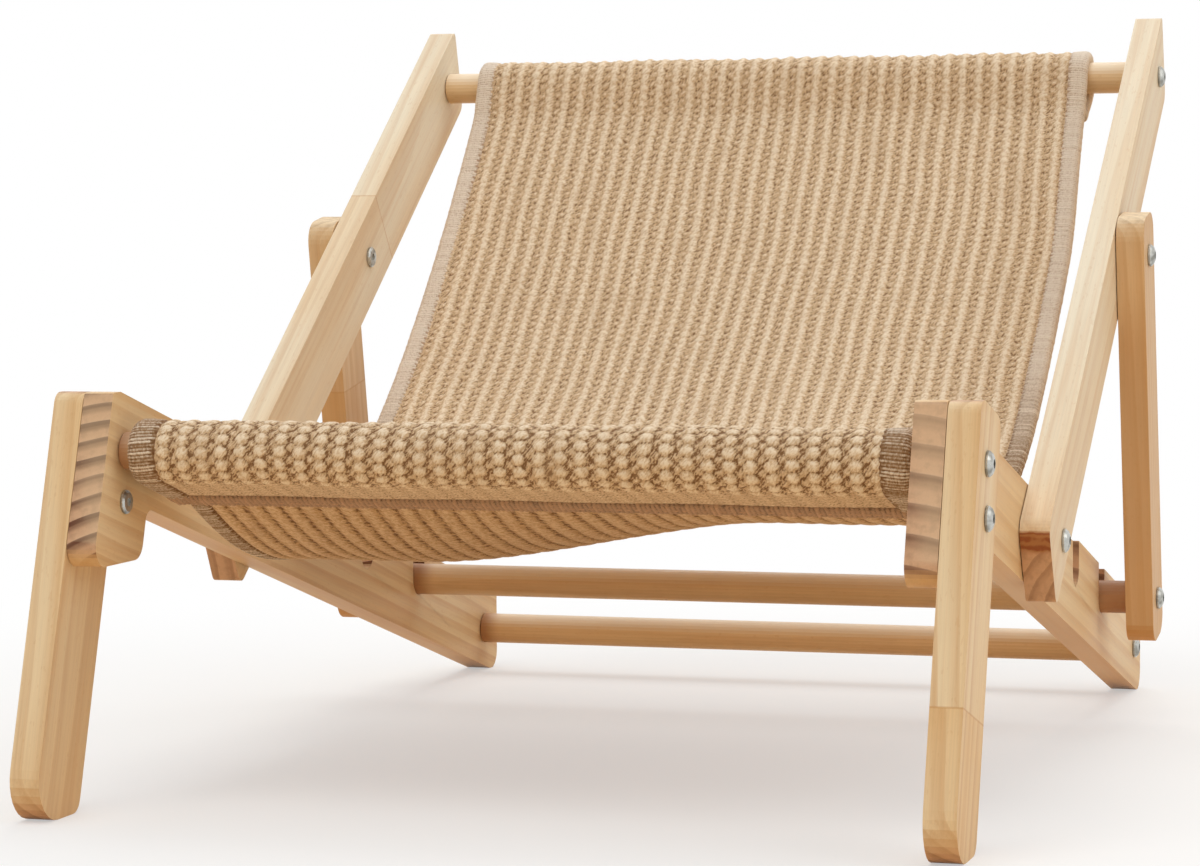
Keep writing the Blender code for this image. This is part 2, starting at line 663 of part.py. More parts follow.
def build_side(side, word, wood, backrest, prop):
    """The four boards of one side of the chair, with the holes for their bolts."""
    nut_seat = NUT_SLEEVE_DIAMETER / 2 + CONTACT_GAP
    nut_depth = NUT_SLEEVE_LENGTH + CONTACT_GAP * 2
    spare = 0.004

    rail = plank(word + "_seat_rail", rail_outline(), RAIL_INNER_X, RAIL_THICKNESS, side, wood)
    for label, place in (("front_rod_hole", FRONT_ROD), ("leg_bolt_hole", LEG_BOLT),
                         ("hinge_hole", HINGE), ("rear_rod_hole", REAR_ROD)):
        bore(rail, label, place, side * (RAIL_INNER_X - spare), side * (RAIL_OUTER_X + spare), BOLT_HOLE_RADIUS)
    for label, place in (("leg_nut_seat", LEG_BOLT), ("hinge_nut_seat", HINGE)):
        bore(rail, label, place, side * (RAIL_INNER_X - spare), side * (RAIL_INNER_X + nut_depth), nut_seat)
    finish_piece(rail)

    leg = plank(word + "_front_leg", leg_outline(), LEG_INNER_X, LEG_THICKNESS, side, wood)
    for label, place in (("front_rod_hole", FRONT_ROD), ("leg_bolt_hole", LEG_BOLT)):
        bore(leg, label, place, side * (LEG_INNER_X - spare), side * (LEG_OUTER_X + spare), BOLT_HOLE_RADIUS)
    finish_piece(leg)

    post = plank(word + "_back_post", post_outline(), POST_INNER_X, POST_THICKNESS, side, wood)
    for label, place in (("hinge_hole", HINGE), ("strut_bolt_hole", STRUT_BOLT), ("top_rod_hole", TOP_ROD)):
        bore(post, label, place, side * (POST_INNER_X - spare), side * (POST_OUTER_X + spare), BOLT_HOLE_RADIUS)
    bore(post, "strut_nut_seat", STRUT_BOLT, side * (POST_INNER_X - spare), side * (POST_INNER_X + nut_depth),
         nut_seat)
    finish_piece(post, backrest)

    strut = plank(word + "_prop_strut", strut_outline(), STRUT_INNER_X, STRUT_THICKNESS, side, wood)
    for label, place in (("strut_bolt_hole", STRUT_BOLT), ("prop_rod_hole", PROP_ROD)):
        bore(strut, label, place, side * (STRUT_INNER_X - spare), side * (STRUT_OUTER_X + spare),
             BOLT_HOLE_RADIUS)
    finish_piece(strut, prop)


def build_fasteners(steel, brass, backrest, prop):
    """Bolts, sleeve nuts and inserts, one at each side for each place."""
    seat = CONTACT_GAP
    through_leg = LEG_OUTER_X - RAIL_INNER_X - NUT_SLEEVE_LENGTH * 0.35
    through_post = POST_OUTER_X - RAIL_INNER_X - NUT_SLEEVE_LENGTH * 0.35
    through_strut = STRUT_OUTER_X - POST_INNER_X - NUT_SLEEVE_LENGTH * 0.35
    bolts = (
        ("front_rod_bolt", FRONT_ROD, LEG_OUTER_X, LEG_OUTER_X - RAIL_INNER_X + BOLT_REACH_IN_ROD, None),
        ("leg_bolt", LEG_BOLT, LEG_OUTER_X, through_leg, None),
        ("rear_rod_bolt", REAR_ROD, RAIL_OUTER_X, RAIL_THICKNESS + BOLT_REACH_IN_ROD, None),
        ("hinge_bolt", HINGE, POST_OUTER_X, through_post, None),
        ("top_rod_bolt", TOP_ROD, POST_OUTER_X, POST_THICKNESS + BOLT_REACH_IN_ROD, backrest),
        ("strut_pivot_bolt", STRUT_BOLT, STRUT_OUTER_X, through_strut, backrest),
        ("prop_rod_bolt", PROP_ROD, STRUT_OUTER_X, STRUT_THICKNESS + BOLT_REACH_IN_ROD, prop))
    for name, place, outer_x, length, parent in bolts:
        side_pair(name, bolt_mesh(name, length), place, outer_x + seat, True, steel, parent)
    nuts = (
        ("leg_bolt_nut", LEG_BOLT, RAIL_INNER_X, None),
        ("hinge_bolt_nut", HINGE, RAIL_INNER_X, None),
        ("strut_pivot_nut", STRUT_BOLT, POST_INNER_X, backrest))
    for name, place, inner_x, parent in nuts:
        side_pair(name, nut_mesh(name), place, inner_x - seat, False, steel, parent)
    inserts = (
        ("front_rod_insert", FRONT_ROD, RAIL_INNER_X, None),
        ("rear_rod_insert", REAR_ROD, RAIL_INNER_X, None),
        ("top_rod_insert", TOP_ROD, POST_INNER_X, backrest),
        ("prop_rod_insert", PROP_ROD, STRUT_INNER_X, prop))
    for name, place, face_x, parent in inserts:
        side_pair(name, insert_mesh(name), place, face_x - CONTACT_GAP * 2, True, brass, parent)


def main():
    """Builds every piece of the chair."""
    clear_scene()
    backrest = pivot_empty("backrest_pivot", HINGE)
    prop = pivot_empty("prop_pivot", STRUT_BOLT, backrest)
    for side, word in ((-1.0, "left"), (1.0, "right")):
        wood = make_material(word + "_pine", (0.80, 0.62, 0.38), 0.45)
        build_side(side, word, wood, backrest, prop)
    dowel_wood = make_material("dowel_pine", (0.76, 0.55, 0.31), 0.45)
    rod("front_rod", FRONT_ROD, RAIL_INNER_X - CONTACT_GAP, dowel_wood)
    rod("rear_rod", REAR_ROD, RAIL_INNER_X - CONTACT_GAP, dowel_wood)
    rod("top_rod", TOP_ROD, POST_INNER_X - CONTACT_GAP, dowel_wood, backrest)
    rod("prop_rod", PROP_ROD, STRUT_INNER_X - CONTACT_GAP, dowel_wood, prop)
    steel = make_material("zinc_plated_steel", (0.62, 0.62, 0.60), 0.35, 1.0)
    brass = make_material("insert_brass", (0.72, 0.56, 0.28), 0.35, 1.0)
    build_fasteners(steel, brass, backrest, prop)
    build_sling(make_material("woven_sisal", (0.62, 0.47, 0.29), 0.9))


main()
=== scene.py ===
"""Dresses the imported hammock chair: pine grain, plated fasteners, a woven sling and a plain studio."""

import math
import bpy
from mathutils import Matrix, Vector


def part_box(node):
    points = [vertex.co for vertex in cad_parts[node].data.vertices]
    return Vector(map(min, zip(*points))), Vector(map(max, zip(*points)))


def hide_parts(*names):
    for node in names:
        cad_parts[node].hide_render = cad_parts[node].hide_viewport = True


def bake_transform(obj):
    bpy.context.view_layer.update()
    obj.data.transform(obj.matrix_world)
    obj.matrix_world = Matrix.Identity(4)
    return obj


bl_info = {
    "name": "Hammock Chair Finishes",
    "version": (1, 0, 0),
    "blender": (4, 5, 0),
    "location": "3D View > Sidebar > Hammock Chair",
    "description": "Weaves the sling and finishes the boards, rods and fasteners of a low hammock chair",
    "category": "Object",
}

import bmesh
import bpy
import numpy as np
from bpy.props import FloatProperty, FloatVectorProperty, PointerProperty
from mathutils import Matrix, Vector

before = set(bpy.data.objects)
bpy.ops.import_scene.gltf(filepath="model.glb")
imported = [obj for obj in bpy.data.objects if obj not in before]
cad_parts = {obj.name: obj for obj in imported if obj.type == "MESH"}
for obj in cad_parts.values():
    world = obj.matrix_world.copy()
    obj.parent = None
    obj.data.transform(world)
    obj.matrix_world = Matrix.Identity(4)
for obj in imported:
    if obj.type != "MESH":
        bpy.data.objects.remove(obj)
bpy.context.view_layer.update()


def box_middle(node):
    """Middle of a node's box at rest."""
    low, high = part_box(node)
    return (Vector(low) + Vector(high)) / 2


# Places taken from the frame
FRONT_ROD = box_middle("front_rod").yz
TOP_ROD = box_middle("top_rod").yz
ROD_RADIUS = (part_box("front_rod")[1][1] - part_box("front_rod")[0][1]) / 2
SEAT_INNER_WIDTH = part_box("right_seat_rail")[0][0] * 2
CLOTH_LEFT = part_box("sling")[0][0]
CLOTH_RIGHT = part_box("sling")[1][0]
CLOTH_WIDTH = CLOTH_RIGHT - CLOTH_LEFT

# The sling's side view, as the solid sling has it but for a longer front sleeve
CLOTH_CORE = 0.0038
CLOTH_LAYER = 0.0071
SLEEVE_ROOM = 0.0037
HEM_HALF = 0.0030
FRONT_SEAM_REACH = 0.047
BACK_SEAM_REACH = 0.027
FRONT_PULL_ANGLE = math.radians(-28.5)
BACK_PULL_ANGLE = math.radians(51.5)
BELLY_SETBACK = 0.178
BELLY_DROP_LEFT = 0.065
BELLY_DROP_RIGHT = 0.0385
BELLY_BLEND_SHARE = 0.27
BELLY_FRONT_EASE = 0.030
BELLY_FLOOR_EASE = 0.061
BELLY_REAR_EASE = 0.110
BELLY_RISE_EASE = 0.128

# The right edge's creep to the left: how far, how long before the sewn end it starts, and its stretch
CREEPS = ((0.0028, 0.45, 0.20), (0.0046, 0.22, 0.12))

# Side hems gathered round the front rod: how much wider, up to where along the cloth, and the stretch
GATHERING = (0.35, 0.11, 0.05)

# The overlocked edges: their threads, the stitch at each thread's end, and the holes
THREAD_HEIGHT = 0.0009
COARSE_THREAD_HEIGHT = 0.0016
THREAD_SINK = 0.00035
THREAD_LEAN = 0.10
STITCH_END = 0.0016
STITCH_STAGGER = 0.0010
STITCH_STRAY = 0.0006
STITCH_FADE = 0.0012
HOLE_REACH = 0.0020
HOLE_STRAY = 0.0008
FRONT_END_HEM_WIDTH = 0.0170
BACK_END_HEM_WIDTH = 0.0105
END_HEM_INSET_SHARE = 0.25
END_HEM_OVERLAP = 0.0012
END_THREAD_SHARE = 1.7

# The stitches of the two seams
SEAM_INSET = 0.0075
SEAM_PITCH = 0.0046
SEAM_STITCH_LENGTH = 0.0034
SEAM_STITCH_RADIUS = 0.00062
SEAM_STITCH_LEAN = 0.096
SEAM_STITCH_LIFT = 0.0002

# Where the cloth is pressed flat: round its sewn ends and under its hems
PRESSED_FRONT = FRONT_SEAM_REACH - 0.012
PRESSED_BACK = BACK_SEAM_REACH - 0.014
PRESSED_STRETCH = 0.014
PRESSED_SHARE = 0.14
UNDER_HEM_SHARE = 0.15
HEM_OVERLAP_SHARE = 0.45
HEM_FADE = 0.004

# How fine the cloth is made
EDGE_INSET = 0.0018
STATIONS = 65
STEPS_PER_ROW = 4
STEPS_PER_RIB = 6
STEPS_PER_THREAD = 4
LINE_POINTS = 720

# The weave's repeat: a knot and a slanting loop in each rib and row outside, a ridge and a dash inside
IN_ROW_PHASE = 1 / 2
BETWEEN_ROWS_PHASE = 0
KNOT_PHASE = 2 / 3
KNOT_SMALLEST = 0.76
KNOT_HALF_WIDTH = 0.0036
TIGHT_KNOT_HALF_WIDTH = 0.0029
KNOT_HALF_LENGTH = 0.0027
CREST_HALF_WIDTH = 0.0022
CREST_SHARE = 0.30
TIGHT_CREST_SHARE = 0.86
TIGHT_FILL = 0.32
TIGHT_FROM = 0.10
TIGHT_TO = 0.30
LOOP_PHASE = 1 / 4
LOOP_SLANT = math.radians(28)
LOOP_SHARE = 0.62
LOOP_STRAY = 0.06
LOOP_HALF_LENGTH = 0.0024
LOOP_HALF_WIDTH = 0.0015
RIDGE_PHASE = 1 / 6
RIDGE_HALF_WIDTH = 0.0034
RIDGE_HALF_LENGTH = 0.0042
RIDGE_LEAN = 0.25
DASH_PHASE = 2 / 3
DASH_HALF_WIDTH = 0.0013
DASH_HALF_LENGTH = 0.0020
INNER_GROUND = 0.30
INNER_RELIEF = 0.62
INNER_HEIGHT_SHARE = 0.62
FACE_SINK = 0.0003


def srgb(red, green, blue):
    """Linear colour of three 0 to 255 screen values."""
    out = []
    for value in (red, green, blue):
        share = value / 255
        out.append(share / 12.92 if share <= 0.04045 else ((share + 0.055) / 1.055) ** 2.4)
    return tuple(out)


# Whitish pine tone for the well lit back posts, painted light
PAINTED_LIGHT_BOARD = Vector(srgb(240, 232, 214))
# Painted highlight for the rods' tops
PAINTED_TOP_LIGHT_ROD = srgb(254, 243, 224)
# Painted shade tint for the side hems round the front rod and under the seat
HEM_SHADE_TINT = srgb(168, 142, 111)


# Settings


def distance(name, description, default, low, high):
    """A setting in metres."""
    return FloatProperty(name=name, description=description, default=default, min=low, max=high,
                         subtype="DISTANCE", unit="LENGTH")


def tone(name, description, *screen_values):
    """A colour setting from three 0 to 255 screen values."""
    return FloatVectorProperty(name=name, description=description, default=srgb(*screen_values),
                               subtype="COLOR", min=0.0, max=1.0)


def angle(name, description, degrees):
    """An angle setting."""
    return FloatProperty(name=name, description=description, default=math.radians(degrees),
                         subtype="ANGLE", unit="ROTATION")


def strength(name, description, default):
    """A setting for the room's light."""
    return FloatProperty(name=name, description=description, default=default, min=0.0, max=2.0,
                         subtype="FACTOR")


def power(name, description, watts):
    """A setting for a light's power."""
    return FloatProperty(name=name, description=description, default=watts, min=0.0, max=500.0,
                         unit="POWER")


class SlingSettings(bpy.types.PropertyGroup):
    """Sizes and yarn colours of the woven sling."""

    rib_pitch: distance("Rib Pitch", "Distance between two ribs of the weave", 0.0099, 0.004, 0.02)
    row_pitch: distance("Row Pitch", "Distance between two knots along a rib", 0.0053, 0.003, 0.015)
    knot_height: distance("Knot Height", "How far the knots stand out of the cloth", 0.0020, 0.0, 0.003)
    hem_width: distance("Hem Width", "Width of the overlocked edge", 0.0115, 0.004, 0.02)
    thread_pitch: distance("Thread Pitch", "Distance between two overlock threads", 0.0014, 0.0008, 0.004)
    # The knot colour is a painted highlight and the groove colour painted shade of the weave's relief
    knot_colour: tone("Knots", "Yarn colour on the highest knots", 250, 230, 202)
    yarn_colour: tone("Yarn", "Yarn colour between the knots", 218, 186, 147)
    groove_shade_colour: tone("Grooves", "Yarn colour deep in the weave", 136, 98, 62)
    # Painted shade for the cloth's inner face, the under side of the seat
    under_shade_tint: tone("Under Side", "Tint of the cloth's warmer under side", 240, 226, 206)
    hem_colour: tone("Hem Thread", "Colour of the overlock thread", 254, 240, 222)
    # Painted shade between the overlock threads
    hem_gap_shade_colour: tone("Hem Gaps", "Colour between the overlock threads", 192, 157, 126)
    seam_colour: tone("Seam Thread", "Colour of the thread that closes the rod sleeves", 188, 150, 118)


class WoodSettings(bpy.types.PropertyGroup):
    """Colours of the pine boards and dowels."""

    board_colour: tone("Board", "Pale wood of the boards", 245, 225, 189)
    warm_colour: tone("Warm Wood", "Warmer wood in slow patches of the boards", 237, 204, 156)
    ring_colour: tone("Rings", "Growth rings on the boards' long faces", 204, 152, 96)
    end_ring_colour: tone("End Rings", "Growth rings where a board is cut across", 98, 52, 36)
    end_wood_colour: tone("End Wood", "Rosy wood between the rings of a cut end", 214, 170, 138)
    # The knot colour also paints the shade where the front and prop rods meet the rails
    knot_colour: tone("Knots", "Reddish wood of the knots and of oiled ends", 150, 84, 46)
    dowel_colour: tone("Dowel", "Wood of the round rods", 241, 209, 165)


class MetalSettings(bpy.types.PropertyGroup):
    """Colours of the fasteners."""

    zinc_colour: tone("Zinc", "Plating of the bolts and sleeve nuts", 196, 196, 190)
    dull_zinc_colour: tone("Dull Zinc", "Plating where it has dulled", 150, 148, 140)
    brass_colour: tone("Brass", "Threaded inserts in the rods", 206, 172, 104)
    dull_brass_colour: tone("Dull Brass", "Inserts where they have dulled", 150, 118, 66)


class StudioSettings(bpy.types.PropertyGroup):
    """Camera and light."""

    lens: FloatProperty(
        name="Lens", description="Focal length of the camera",
        default=108.07, min=10.0, max=300.0, subtype="DISTANCE_CAMERA", unit="CAMERA")
    azimuth: angle("Azimuth", "Turn of the camera to the chair's right", 17.242)
    elevation: angle("Elevation", "Height angle of the camera", 3.58)
    roll: angle("Roll", "Tilt of the camera about its line of sight", -0.368)
    place: FloatVectorProperty(
        name="Place", description="Where the camera stands",
        default=(0.5335, -1.8164, 0.2858), subtype="TRANSLATION", unit="LENGTH")
    sky_strength: strength("Light From Above", "Strength of the room's soft light overhead", 0.72)
    side_strength: strength("Light From The Sides", "Strength of the soft light at floor height", 0.18)
    bounce_colour: tone("Floor Bounce", "Tone of the light that the floor sends back up", 250, 226, 192)
    key_power: power("Key Light", "Power of the large light high at the front", 20.0)
    fill_power: power("Fill Light", "Power of the large light high at the right", 11.0)
    top_power: power("Top Light", "Power of the large light overhead", 22.0)


# Node helpers


def feed(value, socket):
    """Links a value to an input socket, or sets it to a number, a vector or a colour."""
    if isinstance(value, Value):
        value.graph.tree.links.new(value.socket, socket)
    elif value is not None:
        socket.default_value = (*value[:3], 1.0) if socket.type == "RGBA" else value


def fill(node, **values):
    """Feeds a node's named inputs; underscores stand for spaces."""
    for name, value in values.items():
        feed(value, node.inputs[name.replace("_", " ")])


class Value:
    """A node's output that takes part in sums; its node's other outputs are reached by name."""

    def __init__(self, graph, socket):
        self.graph = graph
        self.socket = socket

    def __getitem__(self, name):
        return Value(self.graph, self.socket.node.outputs[name])

    def maths(self, operation, other=None, clamp=False):
        """This value through a Math node."""
        return self.graph.node("ShaderNodeMath", self, other, operation=operation, use_clamp=clamp)

    def __add__(self, other):
        return self.maths("ADD", other)

    def __sub__(self, other):
        return self.maths("SUBTRACT", other)

    def __mul__(self, other):
        return self.maths("MULTIPLY", other)

    def __truediv__(self, other):
        return self.maths("DIVIDE", other)

    def __rsub__(self, other):
        return self.graph.node("ShaderNodeMath", other, self, operation="SUBTRACT")

    def __rtruediv__(self, other):
        return self.graph.node("ShaderNodeMath", other, self, operation="DIVIDE")

    def remap(self, low, high, out_low=0.0, out_high=1.0):
        """This value through a smooth, clamped Map Range node."""
        return self.graph.node("ShaderNodeMapRange", self, low, high, out_low, out_high,
                               interpolation_type="SMOOTHSTEP")


class Graph:
    """A shader tree to which nodes are added by short calls."""

    def __init__(self, tree):
        self.tree = tree

    def node(self, kind, *inputs, **settings):
        """First output of a new node; inputs feed it in order, settings by property or socket name."""
        node = self.tree.nodes.new(kind)
        for key, value in settings.items():
            if hasattr(node, key):
                setattr(node, key, value)
            else:
                fill(node, **{key: value})
        for value, socket in zip(inputs, node.inputs):
            feed(value, socket)
        return Value(self, node.outputs[0]) if node.outputs else None

    def vector_maths(self, operation, *inputs, **settings):
        """Output of a Vector Math node."""
        return self.node("ShaderNodeVectorMath", *inputs, operation=operation, **settings)

    def split(self, vector):
        """The parts X, Y and Z of a vector."""
        return self.node("ShaderNodeSeparateXYZ", vector)

    def attribute(self, name):
        """A mesh attribute."""
        return self.node("ShaderNodeAttribute", attribute_name=name)

    def blend(self, share, first, last, mode="MIX"):
        """Output of a colour Mix node."""
        node = self.tree.nodes.new("ShaderNodeMix")
        node.data_type = "RGBA"
        node.blend_type = mode
        node.clamp_factor = True
        for value, index in ((share, 0), (first, 6), (last, 7)):
            feed(value, node.inputs[index])
        return Value(self, node.outputs[2])

    def noise(self, vector, scale, detail=2.0, roughness=0.5, shift=(0.0, 0.0, 0.0)):
        """Noise texture of a scaled vector, about 0 to 1 with its middle at 0.5."""
        place = self.node("ShaderNodeMapping", vector, Location=shift, Scale=scale)
        return self.node("ShaderNodeTexNoise", place, Scale=1.0, Detail=detail, Roughness=roughness)

    def group(self, name, build, **values):
        """A shader group, built on first use; keys name its inputs."""
        tree = bpy.data.node_groups.get(name) or build(name)
        return self.node("ShaderNodeGroup", node_tree=tree, **values)


def socket_type(default):
    """The kind of socket that a default value needs; a vector's may be None."""
    if isinstance(default, float):
        return "NodeSocketFloat"
    return "NodeSocketColor" if default is not None and len(default) == 4 else "NodeSocketVector"


def new_group(name, inputs, outputs):
    """An empty shader group's graph, its given inputs and the node that takes what is made."""
    tree = bpy.data.node_groups.new(name, "ShaderNodeTree")
    for way, sockets in (("INPUT", inputs), ("OUTPUT", outputs)):
        for label, default in sockets.items():
            socket = tree.interface.new_socket(name=label, in_out=way, socket_type=socket_type(default))
            if default is not None:
                socket.default_value = default
    graph = Graph(tree)
    return graph, graph.node("NodeGroupInput"), tree.nodes.new("NodeGroupOutput")


def new_material(name):
    """A material with its graph and its Principled shader."""
    material = bpy.data.materials.new(name)
    material.use_nodes = True
    return material, Graph(material.node_tree), material.node_tree.nodes["Principled BSDF"]


# Shapes of the weave, for the mesh's arrays and for the material's nodes alike

ARRAY_SUMS = {
    "FRACT": lambda value: value - np.floor(value),
    "EXPONENT": np.exp,
    "SQRT": np.sqrt,
    "MAXIMUM": np.maximum,
}


def sum_of(operation, value, *others):
    """One sum on arrays or on node values, by the name that a Math node has for it."""
    if isinstance(value, Value):
        return value.maths(operation, *others)
    return ARRAY_SUMS[operation](value, *others)


def tightened(along, loose, tight):
    """A measure that changes where the cloth is pulled tight."""
    if isinstance(along, Value):
        return along.remap(TIGHT_FROM, TIGHT_TO, loose, tight)
    return loose + (tight - loose) * eased((along - TIGHT_FROM) / (TIGHT_TO - TIGHT_FROM))


def from_repeat(value, pitch, phase):
    """Distance from the nearest repeat of a pitch, which lies at a phase of 0 to 1."""
    return (sum_of("FRACT", value / pitch - (phase - 0.5)) - 0.5) * pitch


def squares(first, first_reach, last, last_reach):
    """Sum of the squares of two distances, each as a share of its reach."""
    first = first / first_reach
    last = last / last_reach
    return first * first + last * last


def mound(*distances):
    """A smooth mound of height 1 from two distances and their reaches."""
    return sum_of("EXPONENT", squares(*distances) * -1.0)


def dome(*distances):
    """A round dome of height 1 from two distances and their reaches."""
    return sum_of("SQRT", sum_of("MAXIMUM", 1.0 - squares(*distances), 0.0))


def weave_shapes(u, v, rib, row):
    """Knots and slanting loops of the outer face, ridges and dashes of the inner one, each 0 to 1."""
    in_row = from_repeat(v, row, IN_ROW_PHASE)
    between_rows = from_repeat(v, row, BETWEEN_ROWS_PHASE)
    column = from_repeat(u, rib, KNOT_PHASE)
    knot = dome(column, tightened(v, KNOT_HALF_WIDTH, TIGHT_KNOT_HALF_WIDTH), in_row, KNOT_HALF_LENGTH)
    crest = mound(column, CREST_HALF_WIDTH, 0.0, 1.0) * tightened(v, CREST_SHARE, TIGHT_CREST_SHARE)
    across = from_repeat(u, rib, LOOP_PHASE)
    length = across * math.cos(LOOP_SLANT) + between_rows * math.sin(LOOP_SLANT)
    width = between_rows * math.cos(LOOP_SLANT) - across * math.sin(LOOP_SLANT)
    loop = mound(length, LOOP_HALF_LENGTH, width, LOOP_HALF_WIDTH)
    across = from_repeat(u, rib, RIDGE_PHASE) + in_row * RIDGE_LEAN
    ridge = mound(across, RIDGE_HALF_WIDTH, in_row, RIDGE_HALF_LENGTH)
    dash = mound(from_repeat(u, rib, DASH_PHASE), DASH_HALF_WIDTH, between_rows, DASH_HALF_LENGTH)
    return sum_of("MAXIMUM", knot, crest), loop, ridge, dash


# Pine


def pine_grain_group(name):
    """Growth rings, fibres and flecks of a board; position X is its thickness, Y its length, Z its width."""
    graph, given, made = new_group(
        name,
        {"Position": None, "Cut Across": 0.0, "Ring Pitch": 0.009, "Pith Side": 0.03, "Pith Drop": 0.12,
         "Taper": 0.02, "Wander": 0.004, "Swirl": 0.0, "Ring Contrast": 0.5, "End Contrast": 0.9,
         "Pale": (0.8, 0.7, 0.5, 1.0), "Warm": (0.7, 0.5, 0.3, 1.0), "Ring": (0.6, 0.4, 0.2, 1.0),
         "End Ring": (0.4, 0.2, 0.1, 1.0), "End Wood": (0.6, 0.35, 0.2, 1.0)},
        {"Colour": (0.8, 0.7, 0.5, 1.0), "Height": 0.0, "Roughness": 0.5})
    place = given["Position"]
    parts = graph.split(place)

    # Distance from the pith, drawn out by slow waves along the board
    slow = graph.noise(place, (16.0, 4.5, 16.0), roughness=0.45)
    side = parts["X"] + given["Pith Side"]
    drop = parts["Z"] + given["Pith Drop"]
    radius = (side * side + drop * drop).maths("SQRT") + parts["Y"] * given["Taper"]
    ring = (radius + (slow - 0.5) * given["Wander"] + given["Swirl"]) / given["Ring Pitch"]
    random = graph.node("ShaderNodeTexWhiteNoise", noise_dimensions="1D", W=ring.maths("FLOOR"))

    # Early wood slowly turns into a dark, sharp late band
    band = graph.node("ShaderNodeValToRGB", ring.maths("FRACT"))
    ramp = band.socket.node.color_ramp
    ramp.interpolation = "EASE"
    stops = ((0.0, 0.0), (0.34, 0.10), (0.66, 0.60), (0.84, 1.0), (0.95, 0.80), (1.0, 0.0))
    while len(ramp.elements) < len(stops):
        ramp.elements.new(0.5)
    for stop, (position, value) in zip(ramp.elements, stops):
        stop.position = position
        stop.color = (value, value, value, 1.0)
    late = band * random.remap(0.0, 1.0, 0.62, 1.0)

    # Fine fibres and short flecks along the board
    fibre = graph.noise(place, (1400.0, 26.0, 1400.0), detail=3.0, roughness=0.6)
    streak = graph.noise(place, (260.0, 6.0, 260.0))
    fleck = graph.noise(place, (760.0, 230.0, 760.0), detail=1.0).remap(0.64, 0.72)
    patch = graph.noise(place, (22.0, 5.0, 22.0), detail=1.0, shift=(3.1, 1.7, 0.4))

    across = given["Cut Across"]
    contrast = across * given["End Contrast"] + (1.0 - across) * given["Ring Contrast"]
    ground = graph.blend(patch.remap(0.35, 0.68), given["Pale"], given["Warm"])
    ground = graph.blend(across * 0.90, ground, given["End Wood"])
    dark = graph.blend(across, given["Ring"], given["End Ring"])
    colour = graph.blend(late * contrast, ground, dark)
    colour = graph.blend(streak.remap(0.45, 0.75) * 0.22, colour, dark)
    colour = graph.blend(fleck * 0.15, colour, given["Ring"])
    shade = fibre.remap(0.25, 0.75, 0.955, 1.035)
    colour = graph.blend(1.0, colour, graph.node("ShaderNodeCombineColor", shade, shade, shade), "MULTIPLY")

    # Late wood stands out where a board is cut across
    fill(made, Colour=colour, Height=fibre * 0.55 + late * (across * 2.4 + 0.45),
         Roughness=fibre.remap(0.2, 0.8, 0.40, 0.52) + across * 0.18)
    return graph.tree


def wood_knot_group(name):
    """A round knot: its mask, its inner rings and how it pushes the grain round it."""
    graph, given, made = new_group(
        name,
        {"Position": None, "Centre": (0.0, 0.0, 0.0), "Spread": (0.02, 0.006, 0.006), "Push": 0.008},
        {"Mask": 0.0, "Rings": 0.0, "Swirl": 0.0})
    offset = graph.vector_maths("SUBTRACT", given["Position"], given["Centre"])
    length = graph.vector_maths("LENGTH", graph.vector_maths("DIVIDE", offset, given["Spread"]))["Value"]
    ragged = graph.noise(given["Position"], (180.0, 180.0, 180.0))
    reach = length + (ragged - 0.5) * 0.5
    fill(made, Mask=reach.remap(0.75, 1.15, 1.0, 0.0), Rings=(reach * 15.0).maths("SINE").remap(-1.0, 1.0),
         Swirl=reach.remap(0.4, 3.4, 1.0, 0.0) * given["Push"])
    return graph.tree


def edge_wear_and_highlight_group(name):
    """A mask of eased edges, where handling has polished the surface and where a painted highlight lightens
    them.
    """
    graph, given, made = new_group(name, {"Low": 0.52, "High": 0.60}, {"Mask": 0.0})
    pointiness = graph.node("ShaderNodeNewGeometry")["Pointiness"]
    patchy = graph.noise(graph.node("ShaderNodeTexCoord")["Object"], (90.0, 90.0, 90.0))
    fill(made, Mask=(pointiness + (patchy - 0.5) * 0.06).remap(given["Low"], given["High"]))
    return graph.tree


